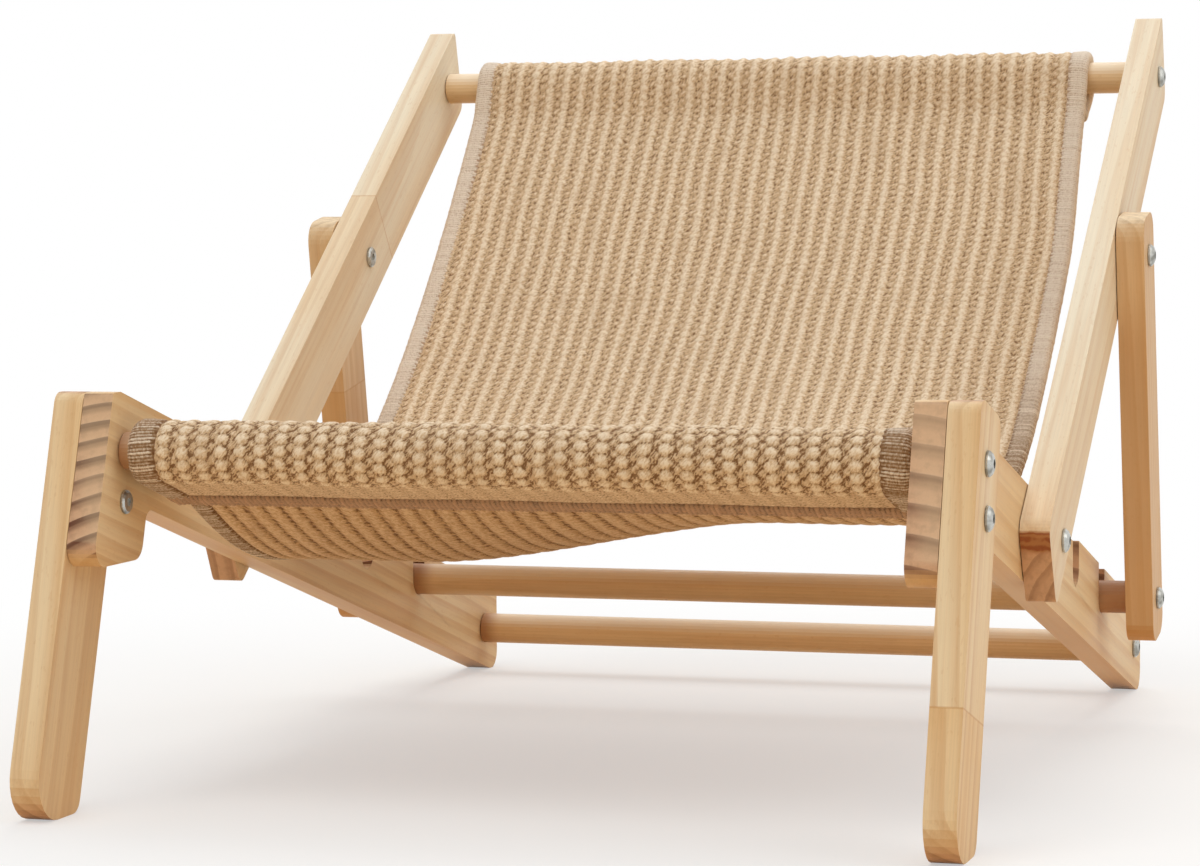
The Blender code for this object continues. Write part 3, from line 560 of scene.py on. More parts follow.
def pine_material(name, middle, turn, grain, knots=(), finger_joint=None, dowel=False, deepen=0.0,
                  down_shade_share=0.40, painted_light_share=0.0, pale_top=False, painted_shade_ends=False):
    """Pine for one board or rod: grain holds its ring values, and the shares say how dark it is, partly as
    painted shade, and how far it is paled as painted light.
    """
    look = bpy.context.scene.hammock_wood
    material, graph, shader = new_material(name)
    source = graph.node("ShaderNodeTexCoord")
    normal = graph.split(source["Normal"])
    turned = (0.0, 0.0, math.pi / 2) if dowel else (turn, 0.0, 0.0)
    place = graph.node("ShaderNodeMapping", source["Object"], vector_type="TEXTURE", Location=middle,
                       Rotation=turned)
    along = (1.0, 0.0, 0.0) if dowel else (0.0, math.cos(turn), math.sin(turn))
    facing = graph.vector_maths("DOT_PRODUCT", source["Normal"], along)["Value"]

    shown = place
    if finger_joint is not None:
        # Beyond the joint another length of timber goes on
        run = graph.split(place)["Y"]
        beyond = run.maths("LESS_THAN", finger_joint)
        shift = graph.vector_maths("SCALE", (0.011, 0.37, 0.027), Scale=beyond)
        shown = graph.vector_maths("ADD", place, shift)
        joint_line = (run - finger_joint).maths("ABSOLUTE").remap(0.0002, 0.0007, 0.5, 0.0)
    marks = []
    for centre, spread, push in knots:
        marks.append(graph.group("Wood Knot", wood_knot_group, Position=place, Centre=centre, Spread=spread,
                                 Push=push))
    if marks:
        grain = {**grain, "Swirl": sum((mark["Swirl"] for mark in marks[1:]), marks[0]["Swirl"])}
    ring = Vector(look.ring_colour)
    pale = Vector(look.dowel_colour if dowel else look.board_colour).lerp(ring, deepen)
    # Painted light: the back posts take a paler, whiter copy of the pine
    pale = pale.lerp(PAINTED_LIGHT_BOARD, painted_light_share)
    warm = Vector(look.warm_colour).lerp(ring, deepen).lerp(PAINTED_LIGHT_BOARD, painted_light_share * 0.7)
    end_wood = Vector(look.end_wood_colour).lerp(Vector(look.board_colour), 0.8 if pale_top else 0.0)
    wood = graph.group(
        "Pine Grain", pine_grain_group, Position=shown, Cut_Across=facing.maths("ABSOLUTE").remap(0.60, 0.97),
        Pale=pale, Warm=warm, Ring=ring, End_Ring=look.end_ring_colour, End_Wood=end_wood, **grain)
    colour = wood["Colour"]
    if not dowel:
        # Painted shade: boards are darkened toward the ring colour on the faces turned down, where less light
        # falls
        under = normal["Z"].remap(0.0, -0.40, 0.0, down_shade_share)
        # On a board with a pale top the painted shade thins out toward its upper end
        if pale_top:
            under = under * graph.split(place)["Y"].remap(0.045, 0.088, 1.0, 0.15)
        colour = graph.blend(under, colour, ring)
    if marks:
        # A knot cut lengthwise shows as bands on the board's narrow faces
        edge_face = normal["X"].maths("ABSOLUTE").remap(0.3, 0.8, 0.95, 0.0)
    for mark in marks:
        inner = graph.blend(mark["Rings"], look.knot_colour, Vector(look.knot_colour).lerp(ring, 0.45))
        colour = graph.blend(mark["Mask"] * edge_face, colour, inner)
    if finger_joint is not None:
        colour = graph.blend(joint_line, colour, ring)
    if dowel:
        # Painted shade and light: the rods are darker and redder on the side turned down, and paler on top
        # where light falls
        colour = graph.blend(normal["Z"].remap(0.25, -0.75, 0.0, 0.24), colour, look.end_ring_colour)
        colour = graph.blend(normal["Z"].remap(0.05, 0.70, 0.0, 0.65), colour, PAINTED_TOP_LIGHT_ROD)
    if painted_shade_ends:
        # Painted shade: these rods are darkened toward the knot colour where they meet the rails
        rail = SEAT_INNER_WIDTH / 2
        end = graph.split(source["Object"])["X"].maths("ABSOLUTE")
        colour = graph.blend(end.remap(rail - 0.014, rail - 0.001, 0.0, 0.75), colour, look.knot_colour)
    # Eased edges: polished in the roughness, and lightened toward the pale wood as a painted highlight
    worn = graph.group("Edge Wear", edge_wear_and_highlight_group, Low=0.53, High=0.62)
    relief = graph.node("ShaderNodeBump", Strength=0.35, Distance=0.0002, Height=wood["Height"])
    fill(shader, Base_Color=graph.blend(worn * 0.30, colour, pale), Roughness=wood["Roughness"] - worn * 0.08,
         Specular_IOR_Level=0.14, Coat_Roughness=0.35, Coat_Weight=0.04, Normal=relief)
    return material


# Metal


def plating_wear_group(name):
    """Slow dull patches and fine turning marks of plated metal."""
    graph, given, made = new_group(
        name, {"Patch Size": 0.004, "Mark Size": 0.0003}, {"Dull": 0.0, "Roughness": 0.3, "Marks": 0.0})
    place = graph.node("ShaderNodeTexCoord")["Object"]
    patches = graph.node("ShaderNodeTexNoise", place, Detail=3.0, Scale=1.0 / given["Patch Size"])
    marks = graph.node("ShaderNodeTexNoise", place, Detail=2.0, Scale=1.0 / given["Mark Size"])
    fill(made, Dull=patches.remap(0.42, 0.66), Marks=marks,
         Roughness=patches.remap(0.3, 0.7, 0.24, 0.42) + marks.remap(0.4, 0.7, 0.0, 0.10))
    return graph.tree


def plated_material(name, bright, dull):
    """Plated metal with dull patches."""
    material, graph, shader = new_material(name)
    wear = graph.group("Plating Wear", plating_wear_group, Patch_Size=0.005, Mark_Size=0.0004)
    edges = graph.group("Edge Wear", edge_wear_and_highlight_group, Low=0.55, High=0.70)
    colour = graph.blend(wear["Dull"], bright, dull)
    relief = graph.node("ShaderNodeBump", Strength=0.25, Distance=0.00005, Height=wear["Marks"])
    fill(shader, Metallic=1.0, Base_Color=graph.blend(edges * 0.5, colour, bright),
         Roughness=wear["Roughness"], Normal=relief)
    return material


# Cloth materials


def yarn_fibre_group(name):
    """Twisted fibres on yarn, from cloth coordinates in metres: X across the cloth, Y along it."""
    graph, given, made = new_group(
        name,
        {"Cloth": None, "Twist Pitch": 0.0011, "Twist Turn": (0.0, 0.0, 0.9), "Fibre Size": 0.0006},
        {"Fibre": 0.0, "Twist": 0.0, "Tone": 0.0})
    cloth = given["Cloth"]
    place = graph.node("ShaderNodeVectorRotate", cloth, rotation_type="EULER_XYZ",
                       Rotation=given["Twist Turn"])
    stray = graph.noise(cloth, (520.0, 520.0, 520.0))
    turns = graph.split(place)["X"] / given["Twist Pitch"] + stray * 1.6
    drawn_out = graph.node("ShaderNodeMapping", place, Scale=(1.0, 0.45, 1.0))
    fibre = graph.node("ShaderNodeTexNoise", drawn_out, Detail=3.0, Roughness=0.6,
                       Scale=1.0 / given["Fibre Size"])
    fill(made, Fibre=fibre, Twist=(turns * math.tau).maths("SINE").remap(-1.0, 1.0),
         Tone=graph.noise(cloth, (60.0, 24.0, 60.0), detail=3.0))
    return graph.tree


def weave_relief_group(name):
    """Relief 0 to 1 of both faces of the weave, from cloth coordinates in metres."""
    graph, given, made = new_group(
        name, {"Cloth": None, "Rib Pitch": 0.0089, "Row Pitch": 0.0058}, {"Outer": 0.0, "Inner": 0.0})
    parts = graph.split(given["Cloth"])
    # Knots wander a little and, where the cloth is pulled tight, run together into ridges
    stray = graph.noise(given["Cloth"], (260.0, 260.0, 260.0), detail=1.0)
    lump = graph.noise(given["Cloth"], (330.0, 330.0, 330.0), detail=1.0, shift=(5.3, 2.9, 0.0))
    u = parts["X"] + (stray - 0.5) * 0.0022
    v = parts["Y"] + (lump - 0.5) * 0.0026
    knot, loop, ridge, dash = weave_shapes(u, v, given["Rib Pitch"], given["Row Pitch"])
    outer = knot.maths("MAXIMUM", loop * LOOP_SHARE)
    outer = outer + (1.0 - outer) * tightened(v, 0.0, TIGHT_FILL)
    fill(made, Outer=outer, Inner=(ridge * 0.42 - dash * 0.50).maths("ADD", 0.48, clamp=True))
    return graph.tree


def yarn_material(name, high, middle, deep, twist_turn, twist_pitch, weave=None, under=None, gathered=False):
    """Plant fibre yarn: a painted highlight where the weave stands high, painted shade where it is deep."""
    material, graph, shader = new_material(name)
    level = graph.attribute("relief")["Fac"]
    cloth = graph.attribute("cloth")["Vector"]
    parts = graph.split(cloth)
    yarn = graph.group("Yarn Fibre", yarn_fibre_group, Cloth=cloth, Twist_Pitch=twist_pitch,
                       Twist_Turn=twist_turn, Fibre_Size=0.0009)
    height = yarn["Twist"] * 0.00012
    stray = 0.12
    if weave is not None:
        # The weave is drawn again in the material, finer than the mesh holds it
        stray = 0.30
        drawn = graph.group("Weave Relief", weave_relief_group, Cloth=cloth, Rib_Pitch=weave[0],
                            Row_Pitch=weave[1])
        inner_face = parts["Z"].maths("GREATER_THAN", 0.25)
        both = graph.node("ShaderNodeMix", inner_face, None, drawn["Outer"], drawn["Inner"])
        fullness = graph.attribute("fullness")["Fac"]
        full = both * fullness
        level = (full + (1.0 - fullness) * 0.46) * 0.70 + level * 0.30
        height = height + full * 0.0009
    level = level + yarn["Fibre"].remap(0.32, 0.68, -stray, stray)
    level = level + yarn["Twist"].remap(0.0, 1.0, -0.05, 0.05)
    # Painted shade in the weave's hollows, painted highlight on its high knots
    colour = graph.blend(level.remap(0.02, 0.42), deep, middle)
    colour = graph.blend(level.remap(0.45, 1.00), colour, high)
    warm = Vector(middle).lerp(Vector(deep), 0.35)
    colour = graph.blend(yarn["Tone"].remap(0.52, 0.80, 0.0, 0.30), colour, warm)
    if gathered:
        # Painted shade: the side hems are darkened round the front rod and under the seat, most between the
        # threads
        front_hem_shade = parts["Y"].remap(0.34, 0.48, 1.0, 0.0) * level.remap(0.30, 0.85, 1.0, 0.12)
        colour = graph.blend(front_hem_shade, colour, graph.blend(1.0, colour, HEM_SHADE_TINT, "MULTIPLY"))
    # Painted shade: the cloth's inner face is tinted darker and warmer
    if under is not None:
        colour = graph.blend(inner_face, colour, graph.blend(1.0, colour, under, "MULTIPLY"))
    height = height + yarn["Fibre"] * 0.00095
    fill(shader, Base_Color=colour, Roughness=level.remap(0.0, 1.0, 0.98, 0.82), Specular_IOR_Level=0.18,
         Sheen_Weight=0.12, Sheen_Roughness=0.6,
         Normal=graph.node("ShaderNodeBump", Strength=0.8, Distance=1.0, Height=height))
    return material


# Cloth shape


def eased(share):
    """Smooth 0 to 1 change over a clipped share."""
    share = np.clip(share, 0.0, 1.0)
    return share * share * (3.0 - 2.0 * share)


def curve_points(points, count):
    """Points of a cubic curve through its first and last points."""
    share = np.linspace(0.0, 1.0, count)[:, None]
    rest = 1.0 - share
    first, second, third, last = (np.array(point) for point in points)
    middle = second * 3 * rest ** 2 * share + third * 3 * rest * share ** 2
    return first * rest ** 3 + middle + last * share ** 3


def sleeve_line(axis, along, outside, seam):
    """Middle line of the cloth round a rod, from its main layer to the end sewn on at the seam."""
    radius = ROD_RADIUS + SLEEVE_ROOM
    layer = CLOTH_LAYER / 2
    tangent = math.atan2(layer, seam) + math.acos(radius / math.hypot(layer, seam))
    angles = np.linspace(tangent, 2 * math.pi - tangent, 60)
    ring = [axis + along * (radius * math.cos(turn)) + outside * (radius * math.sin(turn)) for turn in angles]
    return [axis + along * seam + outside * layer] + ring + [axis + along * seam - outside * layer]


def even_line(points, count):
    """The same line with evenly spread points, and its length."""
    steps = np.hypot(*np.diff(points, axis=0).T)
    travel = np.concatenate([[0.0], np.cumsum(steps)])
    even = np.linspace(0.0, travel[-1], count)
    return np.stack([np.interp(even, travel, points[:, k]) for k in (0, 1)], axis=1), travel[-1]


def soft_line(points, spread):
    """The line with its corners eased over a few points."""
    reach = spread * 3
    kernel = np.exp(-0.5 * (np.arange(-reach, reach + 1) / spread) ** 2)
    kernel /= kernel.sum()
    out = []
    for k in (0, 1):
        before = 2 * points[0, k] - points[reach:0:-1, k]
        after = 2 * points[-1, k] - points[-2:-reach - 2:-1, k]
        out.append(np.convolve(np.concatenate([before, points[:, k], after]), kernel, mode="valid"))
    return np.stack(out, axis=1)


def cloth_line(across):
    """Even middle line of the cloth at one place across the chair, and its length."""
    front_along = Vector((math.cos(FRONT_PULL_ANGLE), math.sin(FRONT_PULL_ANGLE)))
    front_out = Vector((-front_along.y, front_along.x))
    back_along = Vector((-math.cos(BACK_PULL_ANGLE), -math.sin(BACK_PULL_ANGLE)))
    back_out = Vector((back_along.y, -back_along.x))
    front = sleeve_line(FRONT_ROD, front_along, front_out, FRONT_SEAM_REACH)
    back = sleeve_line(TOP_ROD, back_along, back_out, BACK_SEAM_REACH)
    share = float(eased(0.5 + across / (2 * BELLY_BLEND_SHARE * SEAT_INNER_WIDTH)))
    drop = BELLY_DROP_LEFT + (BELLY_DROP_RIGHT - BELLY_DROP_LEFT) * share
    belly = FRONT_ROD + Vector((BELLY_SETBACK, -drop))
    level = Vector((1.0, 0.0))
    front_run = curve_points([front[0], front[0] + front_along * BELLY_FRONT_EASE,
                              belly - level * BELLY_FLOOR_EASE, belly], 90)
    rear_run = curve_points([belly, belly + level * BELLY_REAR_EASE,
                             back[0] + back_along * BELLY_RISE_EASE, back[0]], 140)
    line = np.concatenate([np.array(front[::-1]), front_run[1:], rear_run[1:-1], np.array(back)])
    even, _ = even_line(line, LINE_POINTS)
    return even_line(soft_line(even, 3), LINE_POINTS)


class ClothSurface:
    """Middle surface of the sling: places and directions by distance across and along."""

    def __init__(self):
        self.stations = np.linspace(CLOTH_LEFT, CLOTH_RIGHT, STATIONS)
        lines = [cloth_line(x) for x in self.stations]
        self.lines = np.stack([line for line, _ in lines])
        self.length = float(np.mean([length for _, length in lines]))

    def grid(self, across, along):
        """Places, outward normals and forward directions at every pair of across and along values."""
        share = np.clip(along / self.length, 0.0, 1.0) * (LINE_POINTS - 1)
        low = np.minimum(share.astype(int), LINE_POINTS - 2)
        part = (share - low)[None, :, None]
        side = np.interp(across, self.stations, np.arange(STATIONS))
        left = np.minimum(side.astype(int), STATIONS - 2)
        mix = (side - left)[:, None, None]

        def pick(values):
            rows = values[left] * (1 - mix) + values[left + 1] * mix
            return rows[:, low] * (1 - part) + rows[:, low + 1] * part

        forward = pick(np.gradient(self.lines, axis=1))
        forward /= np.linalg.norm(forward, axis=2, keepdims=True)
        place, normal, ahead = np.zeros((3, len(across), len(along), 3))
        creep = sum(far * eased((start - self.length + along) / stretch) for far, start, stretch in CREEPS)
        reach = (across - CLOTH_LEFT) / CLOTH_WIDTH
        place[..., 0] = across[:, None] - reach[:, None] * creep[None, :]
        place[..., 1:] = pick(self.lines)
        normal[..., 1] = -forward[..., 1]
        normal[..., 2] = forward[..., 0]
        ahead[..., 1:] = forward
        return place, normal, ahead


def quads_between(first, last):
    """Quads between lines of point numbers and the lines beside them."""
    corners = [first[..., :-1], first[..., 1:], last[..., 1:], last[..., :-1]]
    return np.stack(corners, axis=-1).reshape(-1, 4)


def mesh_object(name, mesh, attributes, material):
    """A smooth object in the scene, whose mesh has float and vector attributes on its points."""
    for label, values in attributes.items():
        is_vector = values.size == 3 * len(mesh.vertices)
        kind, field = ("FLOAT_VECTOR", "vector") if is_vector else ("FLOAT", "value")
        attribute = mesh.attributes.new(label, kind, "POINT")
        attribute.data.foreach_set(field, values.astype(np.float32).ravel())
    mesh.shade_smooth()
    mesh.materials.append(material)
    obj = bpy.data.objects.new(name, mesh)
    bpy.context.scene.collection.objects.link(obj)
    return obj


def sleeve_flattening(along, length):
    """1 where the knots stand full, less where the cloth is pressed at its sewn ends."""
    front = eased((along - PRESSED_FRONT) / PRESSED_STRETCH)
    back = eased((length - along - PRESSED_BACK) / PRESSED_STRETCH)
    return PRESSED_SHARE + (1.0 - PRESSED_SHARE) * np.minimum(front, back)


def gathered_width(along):
    """How much wider the side hems are where the cloth is gathered round the front rod."""
    wider, start, stretch = GATHERING
    return 1.0 + wider * (1.0 - eased((along - start) / stretch))


def build_sling_cloth(surface, settings, material):
    """The woven sheet with both faces and its closed edges."""
    rib = settings.rib_pitch
    row = settings.row_pitch
    ribs = round((CLOTH_WIDTH - 2 * EDGE_INSET) / rib * STEPS_PER_RIB)
    rows = round(surface.length / row * STEPS_PER_ROW)
    across = np.linspace(CLOTH_LEFT + EDGE_INSET, CLOTH_RIGHT - EDGE_INSET, ribs + 1)
    along = np.linspace(0.0, surface.length, rows + 1)
    place, normal, _ = surface.grid(across, along)
    random = np.random.default_rng(41).random((64, 160, 3))
    u, v = np.meshgrid(across - across[0], along, indexing="ij")
    # Ribs and rows wander a little, as woven ones do
    u, v = (u + 0.0006 * np.sin(v * 31.0 + 2.0 * np.sin(u * 17.0)) + 0.0003 * np.sin(v * 83.0 + u * 40.0),
            v + 0.0007 * np.sin(u * 43.0 + 1.3) + 0.0003 * np.sin(u * 120.0 + v * 60.0))
    edge = np.minimum(across - across[0], across[-1] - across)[:, None]
    under_hem = settings.hem_width * (gathered_width(along)[None, :] - HEM_OVERLAP_SHARE)
    clear = UNDER_HEM_SHARE + (1.0 - UNDER_HEM_SHARE) * eased((edge - under_hem) / HEM_FADE)
    flat = sleeve_flattening(along, surface.length)[None, :] * clear
    knot, loop, ridge, dash = weave_shapes(u, v, rib, row)

    def chance(u_phase, v_phase, draw):
        """A random number for each repeat."""
        i = np.floor(u / rib - (u_phase - 0.5)).astype(int)
        j = np.floor(v / row - (v_phase - 0.5)).astype(int)
        return random[i % random.shape[0], j % random.shape[1], draw]

    knot = knot * (KNOT_SMALLEST + (1.0 - KNOT_SMALLEST) * chance(KNOT_PHASE, IN_ROW_PHASE, 0))
    loop = loop * (LOOP_SHARE + LOOP_STRAY * (2.0 * chance(LOOP_PHASE, BETWEEN_ROWS_PHASE, 1) - 1.0))
    outer = np.maximum(knot, loop)
    inner = np.clip(INNER_GROUND + INNER_RELIEF * (ridge - dash), 0.0, 1.0)
    slow = 0.0003 * np.sin(u * 61.0 + 1.0) * np.sin(v * 47.0)
    core = CLOTH_CORE / 2 - FACE_SINK
    inner_height = settings.knot_height * INNER_HEIGHT_SHARE
    top = place + normal * (core + settings.knot_height * outer * flat + slow)[..., None]
    under = place - normal * (core + inner_height * inner * flat - slow)[..., None]
    index = np.arange(u.size).reshape(u.shape)
    below = index + u.size
    sheet = quads_between(index[:-1], index[1:])[:, [0, 3, 2, 1]]
    faces = [sheet, sheet[:, ::-1] + u.size,
             quads_between(index[0], below[0]), quads_between(index[-1], below[-1])[:, ::-1],
             quads_between(index[:, 0], below[:, 0])[:, ::-1], quads_between(index[:, -1], below[:, -1])]
    pressed = 0.30 * (1.0 - np.clip(flat, 0.0, 1.0))
    attributes = {
        "relief": np.stack([outer * (0.45 + 0.55 * flat) + pressed, inner * 0.86 + pressed * 0.5]),
        "cloth": np.stack([np.stack([u, v, 0.0 * u + face], axis=-1) for face in (0.0, 0.5)]),
        "fullness": np.stack([flat, flat])}
    mesh = bpy.data.meshes.new("sling_cloth")
    points = np.concatenate([top.reshape(-1, 3), under.reshape(-1, 3)])
    mesh.from_pydata(points.tolist(), [], np.concatenate(faces).tolist())
    return mesh_object("sling_cloth", mesh, attributes, material)


def hem_section(width):
    """Outline of an overlocked edge, inner top to inner bottom, as reach from the edge and height."""
    half = HEM_HALF
    slope = 0.0014
    outline = [(-width, half * 0.50), (-width + 0.0006, half * 0.74), (-width + slope, half * 0.86)]
    for share in np.linspace(0.0, 1.0, 6)[1:]:
        rise = 0.86 + 0.14 * math.sin(share * math.pi / 2)
        outline.append((-width + slope + (width - slope - half) * share, half * rise))
    for turn in np.linspace(math.pi / 2, -math.pi / 2, 9)[1:-1]:
        outline.append((-half + half * math.cos(turn), half * math.sin(turn)))
    lower = [(reach, -height) for reach, height in reversed(outline[:8])]
    return np.array(outline + lower)


def build_hem(name, travel, place_at, section, pitch, material, seed, coarse=False):
    """A closed overlocked edge: a section swept along an edge with a ridge for each thread."""
    random = np.random.default_rng(seed).random(997)
    direction = np.gradient(section, axis=0)
    outward = np.stack([direction[:, 1], -direction[:, 0]], axis=1)
    outward /= np.maximum(np.linalg.norm(outward, axis=1, keepdims=True), 1e-9)
    outward *= np.sign((outward * (section - section.mean(axis=0))).sum(axis=1, keepdims=True))
    # Threads lean a little, so the ridge's place shifts over the section
    lean = np.cumsum(np.concatenate([[0.0], np.hypot(*np.diff(section, axis=0).T)]))
    grid_travel = travel[:, None] + (lean - lean[-1] / 2)[None, :] * THREAD_LEAN
    turn = grid_travel / pitch
    index = np.floor(turn).astype(int)
    chance = random[index % len(random)]
    ridge = np.sqrt(np.maximum(0.0, 1.0 - (2 * (turn - index) - 1) ** 2)) * (0.75 + 0.25 * chance)
    tip = np.minimum(lean, lean[-1] - lean)[None, :]
    stitch_end = STITCH_END + STITCH_STAGGER * (index % 2) + STITCH_STRAY * chance
    worn = eased((tip - stitch_end + STITCH_FADE) / STITCH_FADE)
    ridge = ridge * (0.72 + 0.28 * random[(index * 7) % len(random)])
    height = (COARSE_THREAD_HEIGHT if coarse else THREAD_HEIGHT) * ridge * worn - THREAD_SINK
    points = place_at(section[None, :, :] + outward[None, :, :] * height[..., None])
    # Relief also sets the painted shade between the threads
    relief = np.clip(0.04 + 0.92 * ridge ** 1.6 * (0.45 + 0.55 * worn), 0.0, 1.0)
    if not coarse:
        # Every third thread leaves a small hole at its end, drawn only as a painted dark spot of shade
        relief = np.where((tip < HOLE_REACH + HOLE_STRAY * chance) & (index % 3 == 0), 0.08, relief)
    cloth = np.stack([0.0 * grid_travel + lean[None, :], grid_travel, 0.0 * grid_travel], axis=-1)
    grid = np.arange(grid_travel.size).reshape(grid_travel.shape)
    wrapped = np.concatenate([grid, grid[:, :1]], axis=1)
    faces = quads_between(wrapped[:-1], wrapped[1:]).tolist() + [grid[0][::-1].tolist(), grid[-1].tolist()]
    mesh = bpy.data.meshes.new(name)
    mesh.from_pydata(points.reshape(-1, 3).tolist(), [], faces)
    turned = bmesh.new()
    turned.from_mesh(mesh)
    bmesh.ops.recalc_face_normals(turned, faces=turned.faces)
    turned.to_mesh(mesh)
    turned.free()
    return mesh_object(name, mesh, {"relief": relief, "cloth": cloth}, material)


def side_hem(name, surface, side, settings, material, seed):
    """The overlocked edge along one side of the sling."""
    step = settings.thread_pitch / STEPS_PER_THREAD
    travel = np.linspace(0.0, surface.length, round(surface.length / step) + 1)
    base, normal, _ = surface.grid(np.array([CLOTH_RIGHT if side > 0 else CLOTH_LEFT]), travel)

    def place_at(sections):
        points = base[0][:, None, :] + normal[0][:, None, :] * sections[..., 1:]
        points[..., 0] += side * sections[..., 0] * gathered_width(travel)[:, None]
        return points

    section = hem_section(settings.hem_width)
    return build_hem(name, travel, place_at, section, settings.thread_pitch, material, seed)


def end_hem(name, surface, at_front, settings, material, seed):
    """The overlocked edge at a sewn end of the sling."""
    pitch = settings.thread_pitch * END_THREAD_SHARE
    inset = settings.hem_width * END_HEM_INSET_SHARE
    count = round(CLOTH_WIDTH / (pitch / STEPS_PER_THREAD)) + 1
    travel = np.linspace(CLOTH_LEFT + inset, CLOTH_RIGHT - inset, count)
    base, normal, ahead = surface.grid(travel, np.array([0.0 if at_front else surface.length]))
    outward = -1.0 if at_front else 1.0

    def place_at(sections):
        points = base[:, 0][:, None, :] + normal[:, 0][:, None, :] * sections[..., 1:]
        return points + ahead[:, 0][:, None, :] * (outward * (sections[..., :1] + END_HEM_OVERLAP))

    section = hem_section(FRONT_END_HEM_WIDTH if at_front else BACK_END_HEM_WIDTH)
    return build_hem(name, travel - CLOTH_LEFT, place_at, section, pitch, material, seed, coarse=True)


def stitch_line(name, surface, along, settings, material):
    """A row of thread stitches across the sling's outer face, at a distance along it."""
    count = int((CLOTH_WIDTH - 2 * settings.hem_width) / SEAM_PITCH)
    middles = CLOTH_LEFT + settings.hem_width + SEAM_PITCH * (np.arange(count) + 0.5)
    place, normal, ahead = surface.grid(middles, np.array([along]))
    radius = SEAM_STITCH_RADIUS
    line = bmesh.new()
    for index in range(count):
        out = Vector(normal[index, 0])
        turned = Matrix((Vector((1, 0, 0)), Vector(ahead[index, 0]), out)).transposed().to_4x4()
        seat = Vector(place[index, 0]) + out * (HEM_HALF + SEAM_STITCH_LIFT)
        lean = SEAM_STITCH_LEAN if index % 2 else -SEAM_STITCH_LEAN
        shape = Matrix.Translation(seat) @ turned @ Matrix.Rotation(lean, 4, "Z")
        shape = shape @ Matrix.Rotation(math.pi / 2, 4, "Y")
        shape = shape @ Matrix.Diagonal((radius, radius * 1.25, SEAM_STITCH_LENGTH / 2, 1.0))
        made = bmesh.ops.create_uvsphere(line, u_segments=8, v_segments=6, radius=1.0)
        bmesh.ops.transform(line, matrix=shape, verts=made["verts"])
    mesh = bpy.data.meshes.new(name)
    line.to_mesh(mesh)
    line.free()
    points = np.array([vertex.co for vertex in mesh.vertices])
    return mesh_object(name, mesh, {"relief": np.full(len(points), 0.75), "cloth": points}, material)


# Boards and operators

# Turn of each kind of board's grain from the chair's depth, about the chair's width
GRAIN_TURN = {
    "seat_rail": math.radians(-15.5),
    "front_leg": math.radians(72.7),
    "back_post": math.radians(35.9),
    "prop_strut": math.radians(100.3),
}

# Each board's rings
GRAIN_VALUES = ("Ring_Pitch", "Pith_Side", "Pith_Drop", "Taper", "Wander", "Ring_Contrast", "End_Contrast")
BOARD_GRAIN = {
    "left_seat_rail": (0.0088, -0.035, 0.13, 0.012, 0.008, 0.46, 1.35),
    "right_seat_rail": (0.0135, 0.020, 0.16, 0.012, 0.006, 0.46, 0.90),
    "left_front_leg": (0.0075, 0.055, 0.030, 0.020, 0.007, 0.32, 0.6),
    "right_front_leg": (0.0062, 0.030, 0.012, 0.030, 0.008, 0.42, 0.6),
    "left_back_post": (0.0090, 0.070, -0.020, 0.014, 0.006, 0.26, 0.5),
    "right_back_post": (0.0080, -0.060, 0.030, 0.016, 0.006, 0.22, 0.5),
    "left_prop_strut": (0.0060, 0.040, 0.040, 0.018, 0.005, 0.36, 0.2),
    "right_prop_strut": (0.0055, 0.028, -0.050, 0.022, 0.006, 0.36, 0.2),
}

# What sets a kind of board, and one board, apart; the struts' deepen and full down shade are painted shade,
# the back posts' paler copy is painted light
KIND_MARKS = {
    "back_post": dict(down_shade_share=0.20, painted_light_share=0.62),
    "prop_strut": dict(down_shade_share=1.0, pale_top=True),
}
BOARD_MARKS = {
    "right_seat_rail": dict(deepen=0.09),
    "left_front_leg": dict(deepen=0.05),
    "right_front_leg": dict(deepen=0.04, finger_joint=-0.040),
    "left_back_post": dict(finger_joint=0.060),
    "right_back_post": dict(knots=[((0.0, -0.2320, 0.0150), (0.05, 0.0052, 0.016), 0.006),
                                   ((0.0, -0.2225, 0.0180), (0.05, 0.0024, 0.012), 0.003)]),
    "left_prop_strut": dict(deepen=0.40, finger_joint=0.020),
    "right_prop_strut": dict(deepen=0.48),
}


def dress(node, material):
    """Gives a node of the frame its material."""
    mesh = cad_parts[node].data
    if len(mesh.materials) == 0:
        mesh.materials.append(material)
    for index in range(len(mesh.materials)):
        mesh.materials[index] = material


class HAMMOCK_OT_finish_boards(bpy.types.Operator):
    """Give each board pine with its own growth rings"""

    bl_idname = "hammock.finish_boards"
    bl_label = "Finish Boards"

    def execute(self, context):
        for node, values in BOARD_GRAIN.items():
            kind = node.split("_", 1)[1]
            grain = dict(zip(GRAIN_VALUES, values))
            dress(node, pine_material("pine_" + node, box_middle(node), GRAIN_TURN[kind], grain,
                                      **KIND_MARKS.get(kind, {}), **BOARD_MARKS.get(node, {})))
        return {"FINISHED"}


class HAMMOCK_OT_finish_rods(bpy.types.Operator):
    """Give the four dowels turned pine"""

    bl_idname = "hammock.finish_rods"
    bl_label = "Finish Rods"

    def execute(self, context):
        for index, node in enumerate(("front_rod", "rear_rod", "top_rod", "prop_rod")):
            values = (0.0042 + 0.0006 * index, 0.05 + 0.01 * index, 0.02, 0.012, 0.006, 0.34, 0.8)
            middle = box_middle(node) + Vector((0.21 * index, 0.0, 0.0))
            dress(node, pine_material("pine_" + node, middle, 0.0, dict(zip(GRAIN_VALUES, values)),
                                      dowel=True, painted_shade_ends=node != "top_rod"))
        return {"FINISHED"}


